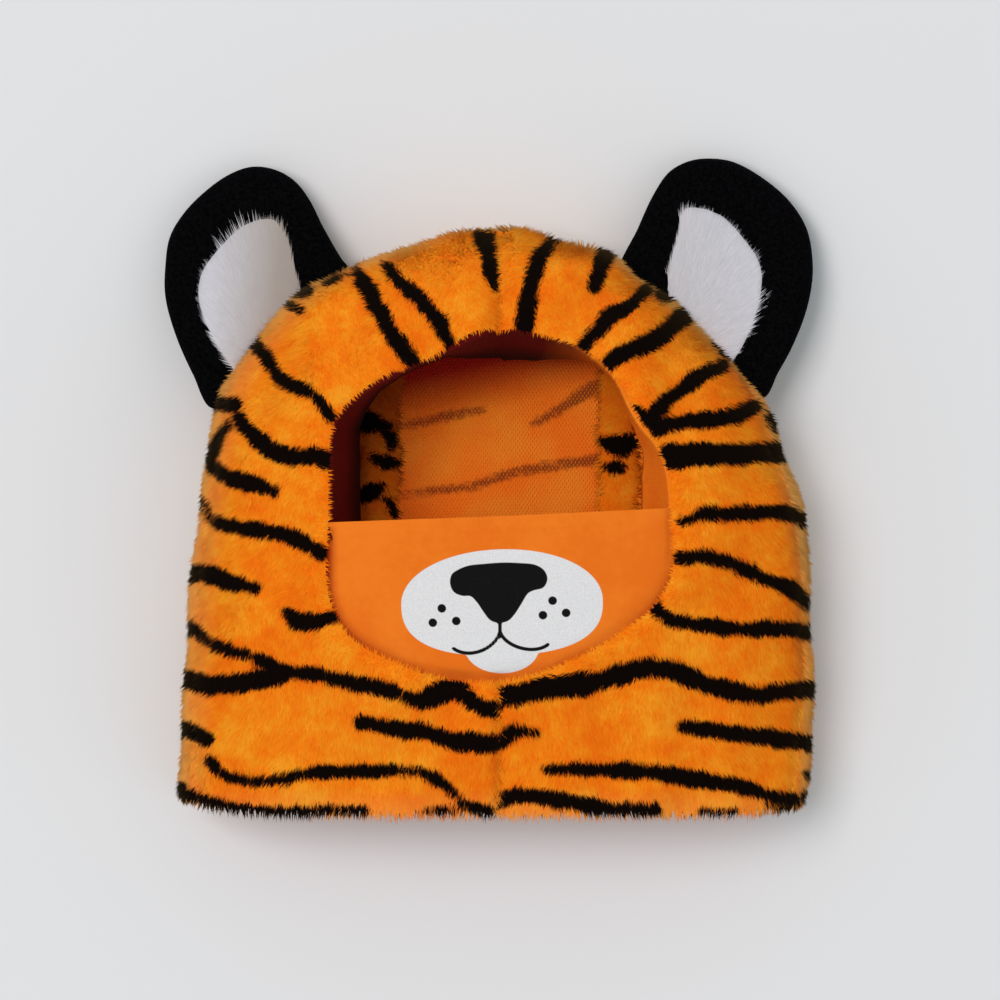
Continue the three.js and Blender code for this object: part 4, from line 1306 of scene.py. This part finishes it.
def seam_allowance(name, inner_x, outer_x, shade, seed):
    """The folded edge of a back seam: a soft low roll of plush along the inside of the back. shade is how
    much painted shade it takes at the opening's middle and at its top."""
    middle, half = (inner_x + outer_x) / 2, abs(inner_x - outer_x) / 2
    base = BACKING_DEPTH + BACKING + 1.0
    rows, columns = ALLOWANCE["grid"]
    y, angle = np.meshgrid(np.linspace(*ALLOWANCE["ends"], rows), np.linspace(0, math.pi, columns),
                           indexing="ij")
    (slow, long), (quick, short), (swell, length) = *ALLOWANCE["sway"], ALLOWANCE["swell"]
    sway = slow * np.sin(y / long + seed) + quick * np.sin(y / short + 1)
    rise = ALLOWANCE["rise"] * (1 + swell * np.sin(y / length)) * np.sqrt(np.sin(angle))
    outer = np.stack([middle + sway + half * np.cos(angle), y, base + 0.1 + rise], -1)
    inner = np.stack([outer[..., 0], y, base + 0.05 * rise], -1)
    piece = sheet_mesh(name, outer, inner)
    comb(piece, y.size, 0.7, swirl=0.9, seed=seed)
    plan = mesh_points(piece)[:, :2]
    dye_piece(piece, plan, ALLOWANCE_RASTER)
    store(piece, "shaded", np.interp(plan[:, 1], [-70, -20, 40], (0.0,) + shade))
    piece.data.materials.append(BACKING_SKIN)
    return piece


def way_about_opening(plan):
    """Each plan point's direction about the opening's middle, in degrees from +X, from -90 to 270."""
    way = np.degrees(np.arctan2(plan[:, 1] - OPENING_MIDDLE[1], plan[:, 0] - OPENING_MIDDLE[0]))
    return np.where(way < -90, way + 360, way)


def opening_facing():
    """Smooth cloth sewn round the upper opening, sloping into the hood with a few soft buckles."""
    ring = np.roll(OPENING_EDGE, -(len(OPENING_EDGE) // 2), axis=0)
    ring = along(ring[ring[:, 1] > FACING["ends"]], np.linspace(0, 1, FACING["grid"][0]))
    tangent = unit(np.gradient(ring, axis=0))
    inward = np.stack([tangent[:, 1], -tangent[:, 0]], -1)
    reach = np.interp(way_about_opening(ring), *np.transpose(FACING_REACH))
    starts = [ring + inward * step for step in FACING_TUCK + (0,)]
    heads = [on_front(*q.T, plush_underside(*q.T) + UNDER_PLUSH)[:, 2] for q in starts]
    grids = []
    shares = np.linspace(0, 1, FACING["grid"][1])
    waves_along, waves_bent = FACING["buckles"]
    for offset in (0.0, FACING["cloth"]):
        rows = []
        for p, n, r, k, high in zip(ring, inward, reach, np.linspace(0, 1, len(ring)), np.transpose(heads)):
            wave = math.sin(k * waves_along + 2 * math.sin(k * waves_bent))
            buckle = FACING["buckle"] * r * np.sin(shares * math.pi) * wave
            step = FACING["start"] + r * shares ** FACING["slope"] + buckle * shares
            step = np.concatenate([FACING_TUCK, step])[:, None] + offset
            sloping = high[2] + (FACING["foot"] - high[2]) * shares
            z = np.concatenate([high[:2] - FACING["cloth"] + offset, sloping])
            rows.append(np.column_stack([p + n * step, z]))
        grids.append(np.array(rows))
    piece = sheet_mesh("opening_facing_cloth", grids[1], grids[0])
    points = mesh_points(piece)
    # The facing's painted shade, by direction about the opening, and its painted shadow toward the foot.
    turned = np.interp(way_about_opening(points[:, :2]), *np.transpose(FACING_SHADE_SHARE))
    store(piece, "facing_shade_share", turned)
    low, high = FACING["foot"], points[:, 2].max()
    store(piece, "foot", np.clip((high - points[:, 2]) / (high - low), 0, 1))
    piece.data.materials.append(FACING_CLOTH)
    return piece


# The face panel and its print

def squarish(plan, middle, wide, high, tilt=0.0, above=2.0, below=2.0):
    """How far inside an ellipse plan points lie. Above and below its middle it may be squarer."""
    c, s = math.cos(tilt), math.sin(tilt)
    x, y = (plan - middle).T
    u, v = (c * x + s * y) / wide, (-s * x + c * y) / high
    power = np.where(v > 0, above, below)
    r = (np.abs(u) ** power + np.abs(v) ** power) ** (1 / power)
    steep = np.hypot(u / wide, v / high) / np.maximum(r, 1e-6)
    return (1 - r) / np.maximum(steep, 1e-6)


def smooth_path(points):
    """An open smooth path through four points."""
    share = np.linspace(0, 1, len(points))
    fit = [np.polyfit(share, c, 3) for c in points.T]
    return np.stack([np.polyval(f, np.linspace(0, 1, 40)) for f in fit], -1)


def ink_shapes(plan):
    """Distances inside the white and the black ink of the muzzle, in millimetres, below zero outside."""
    m = MUZZLE
    middle, chin = from_photo([m["middle"], m["chin"]])
    white = squarish(plan, middle, m["half_width"], m["half_height"], m["tilt"], m["above"], m["below"])
    white = np.maximum(white, squarish(plan, chin, m["chin_width"], m["chin_height"]))
    black = distance_inside(plan, closed_curve(from_photo(NOSE), 160))
    for path in MOUTH:
        line = along(smooth_path(from_photo(path)), np.linspace(0, 1, 26))
        black = np.maximum(black, stripe_depth(plan, segments(line, np.full(26, m["line"] / 2))))
    for x, y in from_photo(FRECKLES):
        black = np.maximum(black, m["freckle"] - np.hypot(plan[:, 0] - x, plan[:, 1] - y))
    return white, black


FACE_GRID = (190, 92)


def panel_hem(x):
    return PANEL_TOP["middle"] + PANEL_TOP["slope"] * x


def face_panel():
    """The cloth over mouth and chin. Its upper hem is turned down; the rest runs to the opening's edge."""
    tucked = OPENING_EDGE + FACE_TUCK * outward_of(OPENING_EDGE)
    lower = tucked[tucked[:, 1] < panel_hem(tucked[:, 0])]
    lower = along(lower, np.linspace(0, 1, FACE_GRID[0]))[::-1]
    across = np.linspace(lower[0, 0], lower[-1, 0], FACE_GRID[0])
    upper = np.stack([across, panel_hem(across)], -1)
    centre, gap = np.array(PANEL_MARGIN["toward"]), PANEL_MARGIN["gap"]
    upper, lower = (p + (centre - p) * (gap / np.linalg.norm(p - centre, axis=1))[:, None]
                    for p in (upper, lower))
    t = np.linspace(0, 1, FACE_GRID[1])[None, :, None]
    plan = upper[:, None] * (1 - t) + lower[:, None] * t
    x, y = plan[..., 0], plan[..., 1]
    from_hem = panel_hem(x) - y
    from_edge = distance_inside(plan.reshape(-1, 2), OPENING_EDGE).reshape(x.shape)
    fullness = PANEL_FULLNESS["height"] * waves(with_z(plan), PANEL_FULLNESS["size"], 8)
    sunk = PANEL_SINK["depth"] * np.clip(1 - from_edge / PANEL_SINK["width"], 0, 1) ** 2
    fold = -PANEL_HEM["rise"] * np.clip((PANEL_HEM["width"] - from_hem) / PANEL_HEM["step"], 0, 1)
    fold += PANEL_HEM["round"] * np.clip(1 - from_hem, 0, 1) ** 2
    under = plush_underside(x, y) + UNDER_PLUSH
    tuck = np.clip(1 - from_edge / PANEL_SINK["tuck"], 0, 1)
    grids = []
    for offset, folded in ((0.0, fold), (PANEL_CLOTH, 0)):
        depth = PANEL_DEPTH + sunk + fullness + folded
        depth = depth + np.clip(under - depth, 0, None) * tuck + offset
        grids.append(with_z(plan, on_front(x, y, depth)[..., 2]))
    piece = sheet_mesh("face_panel_cloth", *grids)
    flat = mesh_points(piece)[:, :2]
    printed = np.arange(len(flat)) < len(flat) // 2
    for name, ink in zip(("ink_white", "ink_black"), ink_shapes(flat)):
        store(piece, name, np.where(printed, ink, OUTSIDE))
    # Painted shade along the opening's edge, where the plush overhangs the panel.
    off_hem = np.clip((panel_hem(flat[:, 0]) - flat[:, 1]) / PANEL_SHADE["off_hem"], 0, 1)
    shade = np.interp(flat[:, 0], PANEL_SHADE["x"], PANEL_SHADE["depth"])
    near = np.clip(1 - distance_inside(flat, OPENING_EDGE) / PANEL_SHADE["width"], 0, 1) ** 2
    store(piece, "seam_shade_share", near * off_hem * shade)
    piece.data.materials.append(PANEL_CLOTH_FINISH)
    return piece


# Ears

def ear_share(plan, ear):
    """How far along an ear's axis plan points lie, from 0 at its root to 1 at its tip."""
    root, tip = np.array(ear["root"], float), np.array(ear["tip"], float)
    return ((plan - root) @ (tip - root)) / ((tip - root) @ (tip - root))


def ear_height(plan, ear):
    return EAR["root_height"] + (EAR["tip_height"] - EAR["root_height"]) * ear_share(plan, ear)


def dome(distance, width):
    """Rises from 0 at an edge to 1 at this width inside it, as a quarter round."""
    return np.sqrt(np.clip(1 - (1 - np.clip(distance / width, 0, 1)) ** 2, 0, 1))


def polar_grid(outline, middle, rings):
    """Plan points from a middle out to an outline, ring by ring."""
    shares = np.sin(np.linspace(0.02, 1, rings) * math.pi / 2)
    return np.stack([middle + (outline - middle) * s for s in shares])


def disc_mesh(name, upper, lower):
    """A closed cushion from an upper and a lower stack of rings that meet at the outermost one."""
    rings, count = upper.shape[:2]
    points = np.concatenate([upper.reshape(-1, 3), lower[:-1].reshape(-1, 3),
                             upper[0].mean(0, keepdims=True), lower[0].mean(0, keepdims=True)])
    start = rings * count
    faces = grid_faces(rings, count, 0, wrap=True) + grid_faces(rings - 1, count, start, wrap=True)
    inner_top, inner_low = start + (rings - 1) * count, start + (rings - 1) * count + 1
    for j in range(count):
        k = (j + 1) % count
        faces.append((j, k, inner_top))
        faces.append((start + k, start + j, inner_low))
        faces.append(((rings - 1) * count + j, (rings - 1) * count + k,
                      start + (rings - 2) * count + k, start + (rings - 2) * count + j))
    return mesh_from(name, points, faces)


def hood_cutter():
    """The hood's form a little under the tips of its pile, as one closed body that trims the ears' roots."""
    turns = np.concatenate([np.linspace(-2, -0.02, 40), np.linspace(0, math.pi, 90),
                            np.linspace(math.pi + 0.02, math.pi + 2, 40)[:-1]])
    rows = np.array([hood_point(np.full(len(turns), p), turns, 1.6) for p in np.linspace(3, LAST, 120)])
    count = len(turns)
    faces = grid_faces(len(rows), count, 0, wrap=True)
    points = rows.reshape(-1, 3)
    ends = np.stack([rows[0].mean(0), rows[-1].mean(0)])
    for j in range(count):
        k = (j + 1) % count
        faces.append((len(points), k, j))
        faces.append((len(points) + 1, (len(rows) - 1) * count + j, (len(rows) - 1) * count + k))
    return mesh_from("ear_root_cutter", np.concatenate([points, ends]), faces)


def trimmed(piece, cutter):
    """The piece without what lies inside the cutter, as a plain mesh."""
    modifier = piece.modifiers.new("trim", "BOOLEAN")
    modifier.operation, modifier.solver, modifier.object = "DIFFERENCE", "EXACT", cutter
    piece.data = plain_mesh(piece)
    return piece


def ear_body(name, ear, cutter):
    """The padded velvet of an ear, with a shallow bed for its inset."""
    outline, inset = closed_curve(ear["outline"], 150), closed_curve(ear["inset"], 110)
    plan = polar_grid(outline, np.mean(ear["inset"], axis=0), 30)
    flat = plan.reshape(-1, 2)
    curve = dome(distance_inside(flat, outline), EAR["round"])
    dip = EAR["dip"] * np.clip(distance_inside(flat, inset) / EAR["dip_width"], 0, 1)
    base = ear_height(flat, ear)
    soft = 0.5 * waves(with_z(flat, base), 30, 21)
    grids = [with_z(plan, z.reshape(plan.shape[:2]))
             for z in (base + (EAR["half"] + soft) * curve - dip, base - EAR["half"] * curve)]
    body = disc_mesh(name, *grids)
    body.data.materials.append(VELVET)
    return trimmed(body, cutter)


def ear_plush(name, ear, cutter):
    """The white inset's backing, which its hairs grow on."""
    inset, middle = closed_curve(ear["inset"], 110), np.mean(ear["inset"], axis=0)
    plan = polar_grid(inset + (middle - inset) * 0.02, middle, 22)
    curve = dome(distance_inside(plan.reshape(-1, 2), inset), EAR["inset_round"]).reshape(plan.shape[:2])
    base = ear_height(plan, ear) + EAR["half"] - EAR["dip"]
    plush = disc_mesh(name, with_z(plan, base + 0.3 + EAR["inset_thickness"] * curve),
                      with_z(plan, base + 0.25))
    plush.data.materials.append(WHITE_BACKING)
    return trimmed(plush, cutter)


# The insets' hairs: how they dip, their length at the ear's root and how much it grows toward the tip,
# how far they stay inside the edge, and how densely the stray wisps stand and how far they reach over it.
INSET_HAIR = {"dip": -0.12, "short": 0.75, "grows": 0.5, "inside": 0.4, "rooted": 1.0,
              "stray": 0.09, "stray_rooted": 1.5, "stray_over": 5}
INNER_RIM_SHADE_REACH = {"start": 12, "width": 26}  # how far the warm painted shade reaches across an inset's middle


def comb_inset(plush, side, ear):
    """Fans an inset's hairs out to its edge. They are planted where they don't reach over the velvet,
    apart from a few stray wisps."""
    points = mesh_points(plush)
    flat = points[:, :2]
    fan = unit(points - [*ear["fan"], 0])
    fan[:, 2] = INSET_HAIR["dip"]
    inner_side = 1 if side == "right" else -1
    across = inner_side * (flat[:, 0] - np.mean(ear["inset"], axis=0)[0])
    # Warm painted shade toward the inset's inner side.
    store(plush, "inner_rim_shade", ear["inner_rim_shade"] * np.clip((across + INNER_RIM_SHADE_REACH["start"]) / INNER_RIM_SHADE_REACH["width"], 0, 1))
    long = INSET_HAIR["short"] + INSET_HAIR["grows"] * np.clip(ear_share(flat, ear), 0, 1)
    inset = closed_curve(ear["inset"], 110)
    rooted = distance_inside(flat, inset)
    reached = distance_inside(flat + unit(fan[:, :2]) * EAR["hair_reach"] * long[:, None], inset)
    wisp = np.linalg.norm(flat - ear["wisp"], axis=1) < EAR["wisp"]
    strays = wisp & (reached > -INSET_HAIR["stray_over"]) & (rooted > INSET_HAIR["stray_rooted"])
    whole = (reached > INSET_HAIR["inside"]) & (rooted > INSET_HAIR["rooted"])
    upper = mesh_normals(plush)[:, 2] > 0.2
    thick = upper * np.where(whole, 1.0, np.where(strays, INSET_HAIR["stray"], 0.0))
    comb(plush, len(points), 0.93, toward=fan, swirl=0.14, seed=41, thick=thick, long=long)


# Making the hood

PILE_LENGTH = 5.4
FINE_HAIR, COARSE_HAIR, WHITE_HAIR_WIDTH = 0.85, 1.2, 0.55
FRONT = {"right": (-1, 11), "left": (1, 12)}  # side and seed
# Side, hairs, seed, and the cloth's flat width and area in metres.
BACK = {"right": (-1, 21000, 21, 0.15, 0.0224), "centre": (0, 10000, 22, 0.09, 0.0229),
        "left": (1, 21000, 23, 0.15, 0.0224)}
# The inner and the outer edge, the painted shade at the opening's middle and top, and the seed.
ALLOWANCES = {"right": (-38.9, -55, (0.5, 0.86), 31), "left": (47.6, 61.5, (0.05, 0.4), 32)}


def settle(node, slot, piece, *pile):
    """Hangs a piece and the pile on it on the root body, and hides the part that they stand in for."""
    for dressed in (piece, *pile):
        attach(dressed, "root")
    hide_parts(node)


def make_front():
    for word, (side, seed) in FRONT.items():
        name = f"front_panel_{word}"
        cloth = front_panel(side, name + "_cloth")
        pile = grow_pile(cloth, name + "_pile", 45500, PILE_LENGTH, FINE_HAIR, HAIR, seed, STRIPES_OF[side])
        settle(name, "orange_plush", cloth, pile)


def make_back():
    for word, (side, hairs, seed, wide, area) in BACK.items():
        name = f"back_panel_{word}"
        cloth = back_panel(side, name + "_cloth")
        pile = grow_pile(cloth, name + "_pile", hairs, PILE_LENGTH, COARSE_HAIR, HAIR, seed,
                         STRIPES_OF[side], flat=rolled_out)
        settle(name, "back_plush", cloth, pile)


def make_allowances():
    for word, (inner, outer, shade, seed) in ALLOWANCES.items():
        name = f"seam_allowance_{word}"
        roll = seam_allowance(name + "_roll", inner, outer, shade, seed)
        pile = grow_pile(roll, name + "_pile", 6000, PILE_LENGTH, FINE_HAIR, HAIR, seed, ALLOWANCE_RASTER,
                         ruffle=0.6, clump=1.9, clump_size=4.0)
        settle(name, "plush_allowance", roll, pile)


def make_cloths():
    panel = face_panel()
    settle("face_panel", "orange_cloth", panel)
    facing = opening_facing()
    settle("opening_facing", "facing_cloth", facing)


def make_ears():
    cutter = hood_cutter()
    for side, ear in EARS.items():
        body = ear_body(f"ear_{side}_velvet", ear, cutter)
        settle(f"ear_{side}", "black_velvet", body)
        plush = ear_plush(f"ear_inset_{side}_plush", ear, cutter)
        comb_inset(plush, side, ear)
        pile = grow_pile(plush, f"ear_inset_{side}_pile", 11000, EAR["hair"], WHITE_HAIR_WIDTH, WHITE_HAIR,
                         41, ruffle=0.09, clump=0.34, clump_size=8.0)
        settle(f"ear_inset_{side}", "white_plush", plush, pile)
    bpy.data.objects.remove(cutter)


# Floor, light and camera

FLOOR_HALF = 3000
FLOOR_TONES = ((0.74, 0.745, 0.76), (0.77, 0.77, 0.78))
# The studio's colour and strength, and its lamps: place and size in metres, and power in watts.
SKY, SKY_STRENGTH = (0.90, 0.985, 1.0, 1), 0.56
LAMPS = {"key": ((-2.6, 1.15, 6.3), 3.4, 242), "fill": ((4.2, -1.2, 3.2), 4.2, 25)}
LAMP_COLOUR = (1.0, 0.93, 0.915)
# The camera's distance, and the height over the floor where the photograph's scale holds, in metres.
CAMERA_DISTANCE, SCALE_HEIGHT = 10.0, 0.04
IMAGE = 1000  # the side of the square image in pixels


def stage():
    corners = [(-FLOOR_HALF, -FLOOR_HALF, 0), (FLOOR_HALF, -FLOOR_HALF, 0), (FLOOR_HALF, FLOOR_HALF, 0),
               (-FLOOR_HALF, FLOOR_HALF, 0)]
    floor = mesh_from("floor", corners, [(0, 1, 2, 3)])
    floor.location.z = -0.0002
    f = Finish("pale_floor", roughness=0.9, specular=0.1)
    floor.data.materials.append(f.colour(f.mix(f.noise(900, 1.0), *FLOOR_TONES)))


def light():
    world = bpy.data.worlds.new("studio")
    bpy.context.scene.world = world
    world.use_nodes = True
    sky = world.node_tree.nodes["Background"].inputs
    sky["Color"].default_value = SKY
    sky["Strength"].default_value = SKY_STRENGTH
    for name, (place, size, power) in LAMPS.items():
        lamp = bpy.data.lights.new(name, "AREA")
        lamp.size, lamp.energy = size, power
        lamp.color = LAMP_COLOUR
        holder = placed(name, lamp)
        holder.location = place
        holder.rotation_euler = (-Vector(place)).to_track_quat("-Z", "Y").to_euler()


def camera():
    """Straight above, so far off that the hood is seen almost without perspective."""
    eye = bpy.data.cameras.new("camera")
    holder = placed("camera", eye)
    eye.sensor_width = 36
    eye.lens = eye.sensor_width * (CAMERA_DISTANCE - SCALE_HEIGHT) / (IMAGE * PIXEL * MM)
    x, y = from_photo((IMAGE / 2, IMAGE / 2)) * MM
    holder.location = (x, y, CAMERA_DISTANCE)
    bpy.context.scene.camera = holder
    bpy.context.scene.view_settings.view_transform = "Standard"


camera()
make_front()
make_back()
make_allowances()
make_cloths()
make_ears()
stage()
light()
